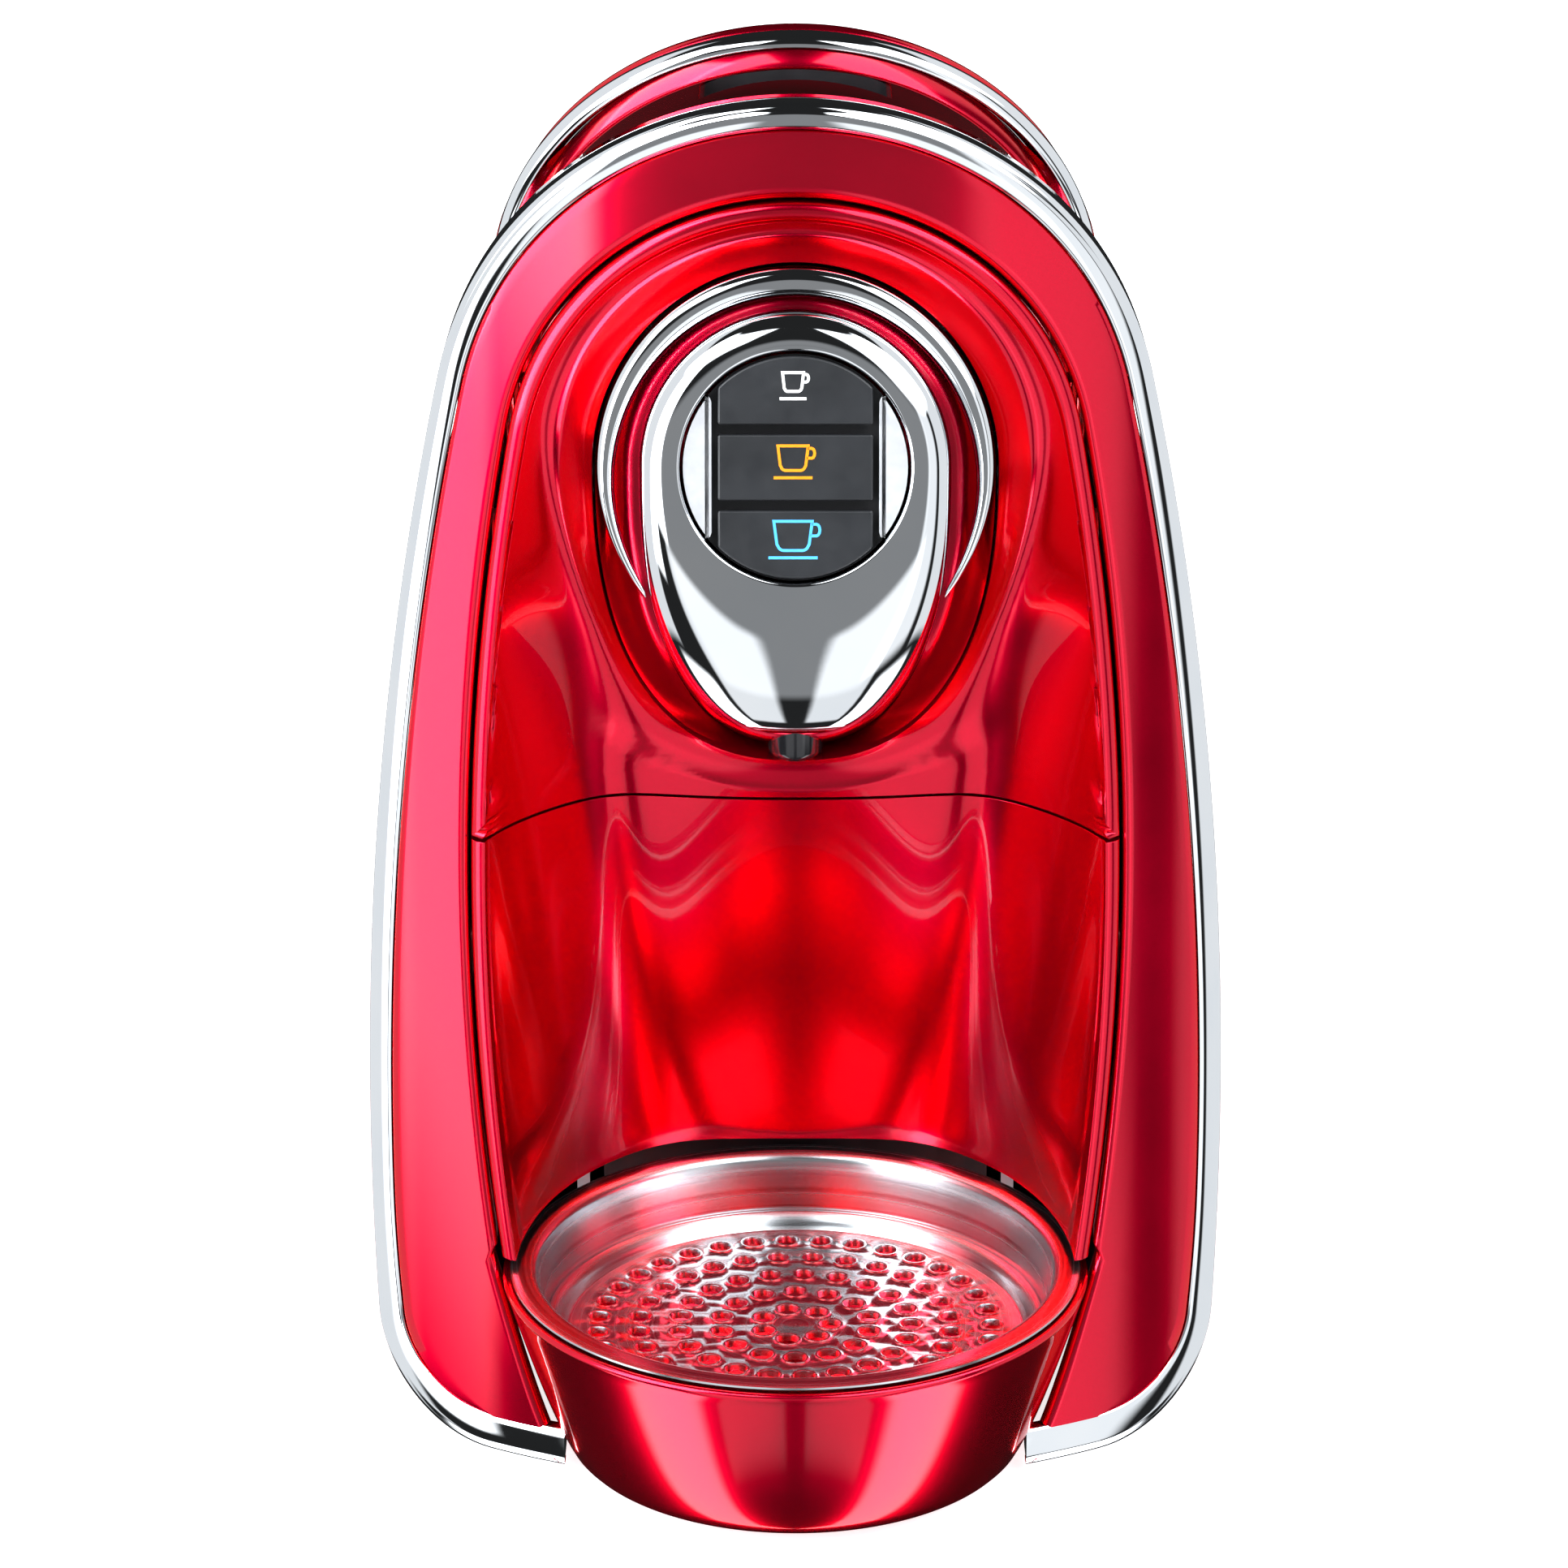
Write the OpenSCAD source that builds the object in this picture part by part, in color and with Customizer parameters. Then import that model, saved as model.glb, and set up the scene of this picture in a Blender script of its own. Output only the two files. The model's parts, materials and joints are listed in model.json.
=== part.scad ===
// Capsule coffee machine: chrome-trimmed front, brew head with three keys, loop lever,
// pull-out drawer with drip tray, and a lift-off water tank behind.
// X is the width, -Y the front, +Z up. The origin is the bottom centre of the whole machine.

/* [Overall] */
// Depth from the drip tray's front to the back of the tank hinge
overall_d = 370; // [360:1:420]
// Width of the front frame over its chrome trim
overall_w = 160; // [150:1:190]
// Height of the front frame
front_h = 252; // [245:1:290]
// Height of the rubber feet
foot_h = 4.5; // [3:0.5:7]

/* [Front frame] */
// Backward lean of the front, in degrees
lean = 8.5; // [5:0.5:12]
// Radius of the front's curve across the width
front_r = 120; // [110:1:160]
// How far the front's centre line starts ahead of the tray's centre
front_set = 22; // [18:0.5:26]
// Radius of the long curved sides
side_r = 640; // [560:10:900]
// Height at which the front is widest
widest_z = 60; // [40:1:80]
// Radius of the lower corners
corner_r = 22; // [16:0.5:28]
// Gap between the front's lower edge and the table
ground_gap = 2; // [1:0.5:3]
// Wall of the front frame
frame_t = 4; // [3:0.5:5]
// Width of the chrome trim
trim_w = 4.6; // [3.5:0.1:6]
// Depth of the chrome trim
trim_d = 10; // [7:0.5:12]

/* [Front opening] */
// Width of the opening in the front frame
open_w = 120; // [112:1:126]
// Height of the opening's crown above the table
open_h = 235.5; // [230:0.5:238]
// Height at which the opening is widest
open_z = 107; // [90:1:120]
// Radius of the opening's sides
open_side_r = 450; // [380:10:600]
// Gap around the panels in the opening
panel_gap = 0.6; // [0.4:0.1:1]
// Wall of the panels
panel_t = 3; // [2:0.5:4]
// Height of the seam between the upper and the lower panel
seam_z = 117; // [112:1:124]

/* [Niche] */
// Forward tilt of the niche's cone
niche_tilt = 17.4; // [14:0.1:20]
// Radius of the niche at the tray
niche_r = 56.8; // [56:0.1:60]
// Growth of the niche's radius per millimetre of its axis
niche_flare = 0.131; // [0.1:0.001:0.16]
// How far the niche's axis lies ahead of the tray's centre at the tray's height
niche_set = 3.5; // [2:0.5:5]

/* [Brew head] */
// Upward tilt of the head's face, in degrees
head_tilt = 15; // [10:0.5:20]
// How far the head's face stands ahead of the tray's centre
head_set = 18; // [14:0.5:24]
// Height of the centre of the key window
head_z = 195.5; // [193:0.5:200]
// Radius of the round upper part of the head
head_r = 27; // [26:0.5:28]
// Radius of the head's chin
chin_r = 22.5; // [20:0.5:24]
// Distance from the window's centre to the chin's centre
chin_drop = 26; // [22:0.5:28]
// Depth of the head along its axis
head_d = 24; // [20:0.5:28]
// Wall of the head cover
head_t = 2; // [1.5:0.5:3]
// Radius of the key window
window_r = 19.5; // [17:0.5:21]
// Width of the column of keys
key_w = 27; // [22:0.5:30]
// Gap around the keys
key_gap = 0.5; // [0.3:0.1:0.8]
// Travel of the keys
key_travel = 1.5; // [1:0.5:2]
// Outer radius of the chrome ring around the head
ring_r = 34.5; // [33:0.5:37]
// Thickness of the ring at its top
ring_t = 5.2; // [4:0.1:6]
// Radius of the coffee spout
spout_r = 4.8; // [4:0.1:6]
// How far the spout lies ahead of the tray's centre
spout_set = 18; // [14:0.5:22]

/* [Drip tray] */
// Outer radius of the tray bowl's rim
tray_r = 54.5; // [50:0.5:55]
// Radius of the tray bowl's foot
tray_foot_r = 42; // [36:0.5:46]
// Height of the bowl's rim above the table
tray_z = 37; // [34:0.5:38]
// Wall of the tray bowl
tray_t = 2.5; // [2:0.5:3]
// Outer radius of the steel dish's rim
dish_r = 53; // [48.5:0.5:53.5]
// Radius of the perforated grille
grille_r = 41; // [36:0.5:43]
// Radius of each drain hole
drain_r = 2; // [1.5:0.1:2.5]

/* [Lever] */
// Height of the lever's shaft
shaft_z = 145; // [143:0.5:147]
// Distance of the shaft behind the tray's centre
shaft_y = 105; // [103:0.5:107]
// Forward lean of the closed lever, in degrees
lever_lean = 23.9; // [22:0.1:26]
// Outer radius of the lever's arch
lever_r = 57; // [56:0.5:58]
// Distance from the shaft to the arch's centre
lever_arm = 68; // [66:0.5:69]
// Thickness of the lever's band, seen from the front
lever_t = 7; // [6:0.5:8]
// Depth of the lever's chrome band
lever_d = 5.5; // [4.5:0.5:7]
// Radius of the shaft
shaft_r = 5; // [4:0.5:6]

/* [Brew unit] */
// Height of the brewing axis
brew_z = 190; // [188:0.5:192]
// Radius of the capsule chamber
chamber_r = 15.5; // [14:0.5:17]
// Tooth module of the pinions and racks
tooth_m = 1.5; // [1.5]
// Number of teeth on each pinion
pinion_n = 28; // [28]
// Radius of the guide rods
rod_r = 4; // [3:0.5:4.5]
// Radial clearance of running fits
run_fit = 0.05; // [0.03:0.01:0.08]

/* [Housing] */
// Distance of the side shells inside the front frame's outline
shell_inset = 4; // [3:0.5:6]
// Wall of the side shells and the cover
shell_t = 2.5; // [2:0.5:3]
// Height of the side shells' upper edge
shell_z = 200; // [198:1:202]
// Radius of the top cover's arch
cover_r = 46.5; // [45:0.5:47]
// Distance of the rear panel behind the tray's centre
rear_y = 236; // [232:1:240]
// Thickness of the base plate
base_t = 3.5; // [3:0.5:5]

/* [Drawer] */
// Half width of the capsule bin
bin_w = 38; // [34:0.5:38]
// Height of the capsule bin's upper edge
bin_z = 108; // [100:1:112]
// Wall of the capsule bin
bin_t = 2; // [1.5:0.5:3]

/* [Water tank] */
// Half width of the water tank
tank_w = 45; // [42:1:54]
// Height of the tank's upper edge
tank_z = 196; // [180:1:198]
// Wall of the tank
tank_t = 2.2; // [2:0.2:3]

/* [Hidden] */
$fn = 96;

half_w = overall_w / 2;
tray_y = -overall_d / 2 + tray_r;          // the tray's centre in the machine's frame
back_y = overall_d - tray_r;               // the machine's back, from the tray's centre
base_top = foot_h + base_t;
far = 400;                                 // longer than anything it cuts
gap = 0.3;                                 // clearance between neighbouring pieces
bite = 0.005;                              // how deep the egg's flanks sink into its round ends
frame_in = front_r - frame_t;
trim_in = front_r - trim_d;
red = [0.78, 0.02, 0.10];
chrome = [0.85, 0.87, 0.90];
black = [0.05, 0.05, 0.06];
steel = [0.70, 0.72, 0.74];
clear_grey = [0.55, 0.60, 0.65];

// Points of an arc, without its last one
function arc(cx, cz, r, a0, a1, n) =
    [for (i = [0 : n - 1]) let (a = a0 + (a1 - a0) * i / n) [cx + r * cos(a), cz + r * sin(a)]];
function mirrored(p) = concat(p, [for (i = [len(p) - 1 : -1 : 0]) [-p[i][0], p[i][1]]]);
// Height of the crown circle that is tangent to both side circles
function crown(w, h, z, r) = ((r - w) * (r - w) + z * z - (r - h) * (r - h)) / (2 * z + 2 * (r - h));

// Outline of the whole front, moved inwards by o
corner_z = ground_gap + corner_r;
corner_x = half_w - side_r
    + sqrt(pow(side_r - corner_r, 2) - pow(corner_z - widest_z, 2));
front_crown = crown(half_w, front_h, widest_z, side_r);
side_a0 = atan2(corner_z - widest_z, corner_x - half_w + side_r);
side_a1 = atan2(front_crown - widest_z, side_r - half_w);
function front_outline(o) = mirrored(concat(
    arc(corner_x, corner_z, corner_r - o, -90, side_a0, 8),
    arc(half_w - side_r, widest_z, side_r - o, side_a0, side_a1, 14),
    arc(0, front_crown, front_h - front_crown - o, side_a1, 90, 14)));

// Outline of the opening, moved inwards by o; its lower part follows the tray bowl
open_half = open_w / 2;
open_crown = crown(open_half, open_h, open_z, open_side_r);
open_a1 = atan2(open_crown - open_z, open_side_r - open_half);
open_a0 = -asin((open_z - tray_z - 3) / open_side_r);
bowl_z0 = 3;
function bowl_r(z) = tray_foot_r + (tray_r - tray_foot_r) * pow((z - bowl_z0) / (tray_z - bowl_z0), 0.8);
function opening(o) = mirrored(concat(
    [[bowl_r(bowl_z0) + 0.8 - o, -9]],
    [for (z = [bowl_z0 : (tray_z - bowl_z0) / 6 : tray_z]) [bowl_r(z) + 0.8 - o, z]],
    arc(open_half - open_side_r, open_z, open_side_r - o, open_a0, open_a1, 14),
    arc(0, open_crown, open_h - open_crown - o, open_a1, 90, 14)));

module at_tray() { translate([0, tray_y, 0]) children(); }
// An outline in the X-Z plane pushed along Y from y0 to y1
module wall_y(points, y0, y1) {
    translate([0, y1, 0]) rotate([90, 0, 0]) linear_extrude(y1 - y0) polygon(points);
}
// An outline in the Y-Z plane pushed along X from x0 to x1
module wall_x(points, x0, x1) {
    translate([x0, 0, 0]) rotate([90, 0, 90]) linear_extrude(x1 - x0) polygon(points);
}
module block(x0, x1, y0, y1, z0, z1) { translate([x0, y0, z0]) cube([x1 - x0, y1 - y0, z1 - z0]); }
module rod_x(x0, x1, y, z, r) { translate([x0, y, z]) rotate([0, 90, 0]) cylinder(r = r, h = x1 - x0); }
module rod_y(x, y0, y1, z, r) { translate([x, y1, z]) rotate([90, 0, 0]) cylinder(r = r, h = y1 - y0); }
module rod_z(x, y, z0, z1, r) { translate([x, y, z0]) cylinder(r = r, h = z1 - z0); }
module both_sides() { children(); mirror([1, 0, 0]) children(); }

// The leaning cylinder that the front follows
module front_round(r) {
    translate([0, -front_set, 0]) rotate([-lean, 0, 0]) translate([0, front_r, -60])
        cylinder(r = r, h = far, $fn = 180);
}
// All that lies ahead of the leaning cylinder
module front_space(r) {
    difference() {
        translate([0, -front_set, 0]) rotate([-lean, 0, 0]) block(-far, far, -far, front_r, -59, far - 61);
        front_round(r);
    }
}
// The niche's cone, grown by o
module niche(o) {
    translate([0, -niche_set, tray_z + 5]) rotate([niche_tilt, 0, 0]) translate([0, 0, -60])
        cylinder(r1 = niche_r + o - 60 * niche_flare, r2 = niche_r + o + 240 * niche_flare, h = 300, $fn = 180);
}
// Head frame: X across, Y up the face, Z out of the face
module at_head() { translate([0, -head_set, head_z]) rotate([90 - head_tilt, 0, 0]) children(); }
// Egg outline with a round top and a smaller chin, from w0 to w1 along the head's axis
module egg(r, chin, drop, w0, w1) {
    a = asin((r - chin) / drop);
    translate([0, 0, w0]) union() {
        cylinder(r = r, h = w1 - w0);
        translate([0, -drop, 0]) cylinder(r = chin, h = w1 - w0);
        linear_extrude(w1 - w0) polygon([
            [(r - bite) * cos(a), -(r - bite) * sin(a)], [(chin - bite) * cos(a), -drop - (chin - bite) * sin(a)],
            [-(chin - bite) * cos(a), -drop - (chin - bite) * sin(a)], [-(r - bite) * cos(a), -(r - bite) * sin(a)]]);
    }
}
module rounded(x0, x1, y0, y1, z0, z1, r) {
    translate([0, 0, z0]) linear_extrude(z1 - z0) union() {
        translate([x0 + r, y0]) square([x1 - x0 - 2 * r, y1 - y0]);
        translate([x0, y0 + r]) square([x1 - x0, y1 - y0 - 2 * r]);
        for (x = [x0 + r, x1 - r]) for (y = [y0 + r, y1 - r]) translate([x, y]) circle(r = r);
    }
}
// Hose with round bends through the points
module hose(points, r) {
    for (i = [0 : len(points) - 2]) {
        v = points[i + 1] - points[i];
        translate(points[i]) rotate([0, acos(v[2] / norm(v)), atan2(v[1], v[0])]) cylinder(r = r, h = norm(v), $fn = 32);
    }
    for (i = [1 : len(points) - 2]) translate(points[i]) sphere(r = r, $fn = 32);
}

// ---------------------------------------------------------------- base
prong_in = tray_r + 2;                     // inner edge of the two front prongs
prong_out = prong_in + 8.5;
foot_places = [[prong_in + 5, 24], [tank_w - 8, 288]];
screw_places = [[36, 145], [36, 195]];
drawer_back = 118;
shelf_y = back_y - 8;
module base_plate() {
    color(black) at_tray() difference() {
        union() {
            block(-prong_out, prong_out, 62, rear_y, foot_h, base_top);
            both_sides() block(prong_in, prong_out, 14, 62, foot_h, base_top);
            block(-tank_w, tank_w, rear_y, shelf_y, foot_h, base_top);
        }
        both_sides() for (p = screw_places) rod_z(p[0], p[1], 0, 20, 1.7);
    }
}
module rubber_feet() {
    color(black) at_tray() both_sides() for (p = foot_places) translate([p[0], p[1], 0]) {
        cylinder(r1 = 3.4, r2 = 4, h = 1.5);
        translate([0, 0, 1.5]) cylinder(r = 4, h = foot_h - 1.5);
    }
}
module screw(shank) {
    cylinder(r = 3, h = 1.6);
    translate([0, 0, 1.6]) cylinder(r = 1.5, h = shank);
}
module base_screws() {
    color(steel) at_tray() both_sides() for (p = screw_places) translate([p[0], p[1], foot_h - 1.6]) screw(7);
}

// ---------------------------------------------------------------- front
module fascia_frame() {
    color(red) at_tray() difference() {
        intersection() {
            wall_y(front_outline(trim_w), -60, 90);
            front_round(front_r);
            block(-far, far, -60, front_r - front_set, -20, far);
        }
        front_round(frame_in);
        wall_y(opening(0), -70, 100);
    }
}
module fascia_trim() {
    color(chrome) at_tray() difference() {
        intersection() {
            wall_y(front_outline(0), -60, 90);
            front_round(front_r);
            block(-far, far, -60, front_r - front_set, -20, far);
        }
        front_round(trim_in);
        wall_y(front_outline(trim_w), -70, 100);
        wall_y(opening(0), -70, 100);
    }
}
// The filled opening between two heights, hollow behind its walls
module panel(z0, z1, back) {
    difference() {
        intersection() {
            wall_y(opening(panel_gap), -40, back);
            front_round(front_r);
            block(-far, far, -40, back, z0, z1);
        }
        niche(0);
        difference() {
            intersection() {
                wall_y(opening(panel_gap + panel_t), -50, back + 1);
                front_round(front_r - panel_t);
            }
            niche(panel_t);
        }
    }
}
duct_z = 169;
duct_r = 3.5;
neck_r = ring_r - 1.5;
neck_t = 2;
neck_chin = chin_r + 3;
neck_back_y = 31;                          // the neck ends at a plane just ahead of the niche's wall
neck_back_z = 127;
neck_back_tilt = 10.5;
neck_drop = chin_drop + 2;
module upper_panel() {
    color(red) at_tray() difference() {
        panel(seam_z + panel_gap / 2, far, 52);
        block(-far, far, 33, 60, shell_z - shell_t - gap, far);
        rod_y(0, 0, 60, duct_z, duct_r + gap);
    }
}
module head_neck() {
    color(red) at_tray() difference() {
        at_head() egg(neck_r, neck_chin, neck_drop, -90, -15);
        translate([0, neck_back_y, neck_back_z]) rotate([neck_back_tilt, 0, 0])
            block(-60, 60, 0, 100, -60, 160);
        at_head() egg(neck_r - neck_t, neck_chin - neck_t, neck_drop, -91, -15 - neck_t);
        at_head() egg(head_r + gap, chin_r + gap, chin_drop, -30, 10);
        rod_z(0, -spout_set, 100, 160, spout_r + 1.5);
    }
}
ring_in = ring_r - ring_t * 0.8;
ring_shift = ring_t * 0.2;
tip_drop = head_r + 9;                     // the ring's two ends stay clear of the head's flanks
module brew_ring() {
    color(chrome) at_tray() at_head() difference() {
        translate([0, 0, -14.7]) cylinder(r = ring_r, h = 6);
        translate([0, -ring_shift, -16]) cylinder(r = ring_in, h = 10);
        translate([0, -tip_drop, -12]) rotate([0, 0, 45]) cube([64, 64, 20], center = true);
    }
}
carrier_w = -4;                            // front of the key carrier, behind the face
board_w = -14;
module head_cover() {
    color(chrome) at_tray() difference() {
        at_head() egg(head_r, chin_r, chin_drop, -head_d, 0);
        at_head() egg(head_r - head_t, chin_r - head_t, chin_drop, -head_d - 1, -head_t);
        at_head() translate([0, 0, -10]) cylinder(r = window_r + key_gap, h = 20);
        rod_z(0, -spout_set, 100, 160, spout_r + gap);
    }
}
key_h = 2 * window_r / 3;
stem_r = 1.8;
key_names = [1, 0, -1];                    // upper, middle and lower key
module key_carrier() {
    color(black) at_tray() at_head() difference() {
        union() {
            translate([0, 0, carrier_w - 3]) cylinder(r = window_r, h = 3);
            translate([0, 0, board_w + 1.6]) difference() {
                cylinder(r = window_r, h = carrier_w - board_w - 2);
                translate([0, 0, -1]) cylinder(r = window_r - 2, h = 20);
            }
        }
        for (k = key_names) translate([0, k * key_h, -20]) cylinder(r = stem_r + run_fit, h = 30);
    }
}
module key_inlays() {
    color(steel) at_tray() at_head() both_sides() intersection() {
        translate([0, 0, carrier_w]) cylinder(r = window_r, h = -carrier_w);
        block(key_w / 2 + key_gap, window_r, -12, 12, carrier_w, 0);
    }
}
module key_board() {
    color([0.1, 0.35, 0.2]) at_tray() at_head() {
        translate([0, 0, board_w]) cylinder(r = window_r - 0.5, h = 1.6);
        for (k = key_names) block(-3, 3, k * key_h - 3, k * key_h + 3, board_w + 1.6, board_w + 4);
    }
}
module key(k) {
    color(black) at_tray() at_head() {
        intersection() {
            translate([0, 0, carrier_w + key_travel + 0.3]) cylinder(r = window_r, h = 5);
            block(-key_w / 2, key_w / 2, (k - 0.5) * key_h + key_gap / 2, (k + 0.5) * key_h - key_gap / 2,
                carrier_w + key_travel + 0.3, 0.6);
        }
        translate([0, k * key_h, board_w + 4 + key_travel + 0.2])
            cylinder(r = stem_r, h = carrier_w - board_w - 3.7);
    }
}
module key_small() { key(1); }
module key_medium() { key(0); }
module key_large() { key(-1); }
spout_z = 143.5;
module coffee_duct() {
    color(black) at_tray() difference() {
        union() {
            rod_y(0, -spout_set, 40, duct_z, duct_r);
            rod_z(0, -spout_set, 153, duct_z, duct_r);
            translate([0, -spout_set, duct_z]) sphere(r = duct_r);
        }
        rod_y(0, -spout_set, 41, duct_z, 1.8);
        rod_z(0, -spout_set, 150, duct_z, 1.8);
    }
}
module spout() {
    color(black) at_tray() difference() {
        union() {
            rod_z(0, -spout_set, spout_z, 152.8, spout_r);
            rod_z(0, -spout_set, 150, 152.8, spout_r + 1.2);
        }
        rod_z(0, -spout_set, spout_z - 1, 149, spout_r - 1.5);
        rod_z(0, -spout_set, 148, 160, 1.8);
    }
}

// ---------------------------------------------------------------- housing
slot_in = cover_r + gap;
slot_out = lever_r + 1.5;
module side_shell() {
    difference() {
        union() {
            difference() {
                intersection() {
                    wall_y(front_outline(shell_inset), -40, rear_y);
                    block(slot_out, far, -40, rear_y, base_top, shell_z);
                }
                wall_y(front_outline(shell_inset + shell_t), -41, rear_y + 1);
            }
            intersection() {
                wall_y(front_outline(shell_inset), -40, rear_y);
                union() {
                    block(slot_in, far, 33 + gap, 60, shell_z - shell_t, shell_z);
                    block(slot_in, far, 158, rear_y, shell_z - shell_t, shell_z);
                }
            }
        }
        front_space(trim_in - gap);
    }
}
module side_shell_left() { color(red) at_tray() mirror([1, 0, 0]) side_shell(); }
switch_y = 205;
switch_z = 60;
module side_shell_right() {
    color(red) at_tray() difference() {
        side_shell();
        block(60, 90, switch_y - 10, switch_y + 10, switch_z - 6, switch_z + 6);
    }
}
cover_z0 = shell_z - 24;
roof_y = 120;                              // the roof slopes down behind this line
roof_z = shell_z + cover_r + 3.5;
module cover_solid(o) {
    intersection() {
        union() {
            rod_y(0, -20, rear_y - o, shell_z - 1, cover_r - o);
            block(-cover_r + o, cover_r - o, -20, rear_y - o, cover_z0 - o, shell_z - 1);
        }
        wall_x([[-30, cover_z0 - o], [-30, far], [roof_y - o, far], [roof_y - o, roof_z - o],
            [rear_y, shell_z + 2 - o], [rear_y, cover_z0 - o]], -60, 60);
    }
}
slot_y0 = 70;
slot_y1 = 96;
slot_w = 18;
module top_cover() {
    color(red) at_tray() difference() {
        cover_solid(0);
        cover_solid(shell_t);
        front_space(trim_in - gap);
        wall_y(opening(panel_gap - gap), -60, 33 + gap);
        block(-slot_w, slot_w, slot_y0, slot_y1, 200, 260);
    }
}
module capsule_chute() {
    color(black) at_tray() difference() {
        intersection() {
            block(-slot_w - 2, slot_w + 2, slot_y0 - 2, slot_y1 + 2, 216, 250);
            rod_y(0, 50, 120, shell_z - 1, cover_r - shell_t);
        }
        block(-slot_w, slot_w, slot_y0, slot_y1, 200, 260);
    }
}
meter_x = 20;
inlet_z = 46;
gland_x = -62;
gland_z = 22;
gland_r = 6;
module rear_panel() {
    color(black) at_tray() difference() {
        intersection() {
            wall_y(front_outline(shell_inset + shell_t + gap), rear_y - 2.5, rear_y);
            block(-far, far, 0, far, base_top, cover_z0 - gap);
        }
        rod_y(gland_x, 200, 300, gland_z, gland_r - 1);
        rod_y(meter_x, 200, 300, inlet_z, 4);
    }
}
module cord_gland() {
    color(black) at_tray() difference() {
        union() {
            rod_y(gland_x, rear_y - 5, rear_y, gland_z, gland_r - 1);
            translate([gland_x, rear_y, gland_z]) rotate([-90, 0, 0]) cylinder(r1 = gland_r, r2 = gland_r - 1.2, h = 12);
        }
        rod_y(gland_x, 200, 300, gland_z, 3.5);
    }
}
rocker_x = 74;
pivot_x = 68;
pivot_r = 1.2;
module switch_housing() {
    color(black) at_tray() difference() {
        block(58, rocker_x - 1, switch_y - 9.7, switch_y + 9.7, switch_z - 5.7, switch_z + 5.7);
        block(63, 90, switch_y - 8.5, switch_y + 8.5, switch_z - 4.7, switch_z + 4.7);
        rod_z(pivot_x, switch_y, switch_z - 8, switch_z + 8, pivot_r + run_fit);
    }
}
rocker_rest = 8;
module power_rocker() {
    color(black) at_tray() translate([pivot_x, switch_y, 0]) rotate([0, 0, rocker_rest]) {
        translate([0, 0, switch_z - 4.4]) linear_extrude(8.8)
            polygon([[-2, -5], [3, -7.4], [8.2, -7.6], [7.2, 0], [8.2, 7.6], [3, 7.4], [-2, 5]]);
        rod_z(0, 0, switch_z - 5.6, switch_z + 5.6, pivot_r);
    }
}

// ---------------------------------------------------------------- chassis and brew unit
plate_in = 41;
plate_out = 43.5;
bush_r = 8;
crossbar_y = 150;
rod_x0 = 31;
module chassis() {
    color(steel) at_tray() difference() {
        union() {
            both_sides() block(plate_in, plate_out, 64, 204, base_top + 6, 170);
            both_sides() block(plate_in, plate_out, 50, 204, 125, 204);
            both_sides() for (p = screw_places) block(30, plate_out, p[1] - 5, p[1] + 5, base_top, base_top + 6);
            block(-plate_out, plate_out, crossbar_y, crossbar_y + 6, 172, 204);
        }
        rod_x(-60, 60, shaft_y, shaft_z, bush_r);
        both_sides() rod_y(rod_x0, crossbar_y - 1, crossbar_y + 3, brew_z, rod_r);
        both_sides() for (p = screw_places) rod_z(p[0], p[1], 0, base_top + 4, 1.5);
        block(-20, 20, crossbar_y - 1, crossbar_y + 8, 180, 200);
    }
}
block_y0 = 40;
block_y1 = 68;
block_r = 25;
module brew_block() {
    color(black) at_tray() difference() {
        union() {
            rod_y(0, block_y0, block_y1, brew_z, block_r);
            block(-plate_in, plate_in, 56, block_y1, brew_z - 8, brew_z + 8);
        }
        rod_y(0, block_y1 - 20, block_y1 + 1, brew_z, chamber_r);
        rod_y(0, block_y0 - 1, block_y1, duct_z + 4, 1.8);
        both_sides() rod_y(rod_x0, block_y1 - 8, block_y1 + 1, brew_z, rod_r);
        rod_y(0, block_y0 - 1, block_y0 + 1, duct_z, 3.6);
        rod_z(0, 56, brew_z, 220, 1.5);
    }
}
seal_r = chamber_r + 3.5;
module brew_seal() {
    color(black) at_tray() difference() {
        rod_y(0, block_y1, block_y1 + 2, brew_z, seal_r);
        rod_y(0, block_y1 - 1, block_y1 + 3, brew_z, chamber_r);
    }
}
module guide_rods() {
    color(steel) at_tray() both_sides() rod_y(rod_x0, block_y1 - 8, crossbar_y + 3, brew_z, rod_r);
}
piston_y = block_y1 + 2 + gap;             // the closed piston's face
piston_h = 24;
carriage_d = 12;
carriage_y = piston_y + piston_h;
pitch_r = tooth_m * pinion_n / 2;
pitch_z = shaft_z + pitch_r;
rack_root_z = pitch_z + 1.3 * tooth_m;
rack_top = rack_root_z + 4;
module piston_carriage() {
    color(black) at_tray() difference() {
        block(-38.5, 38.5, carriage_y, carriage_y + carriage_d, rack_top, brew_z + 16);
        both_sides() rod_y(rod_x0, 0, 200, brew_z, rod_r + run_fit);
        rod_y(0, carriage_y - 1, carriage_y + 6, brew_z, 6);
    }
}
module piston_head() {
    color(steel) at_tray() {
        rod_y(0, piston_y, carriage_y, brew_z, seal_r);
        rod_y(0, carriage_y, carriage_y + 6, brew_z, 6);
    }
}
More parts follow.
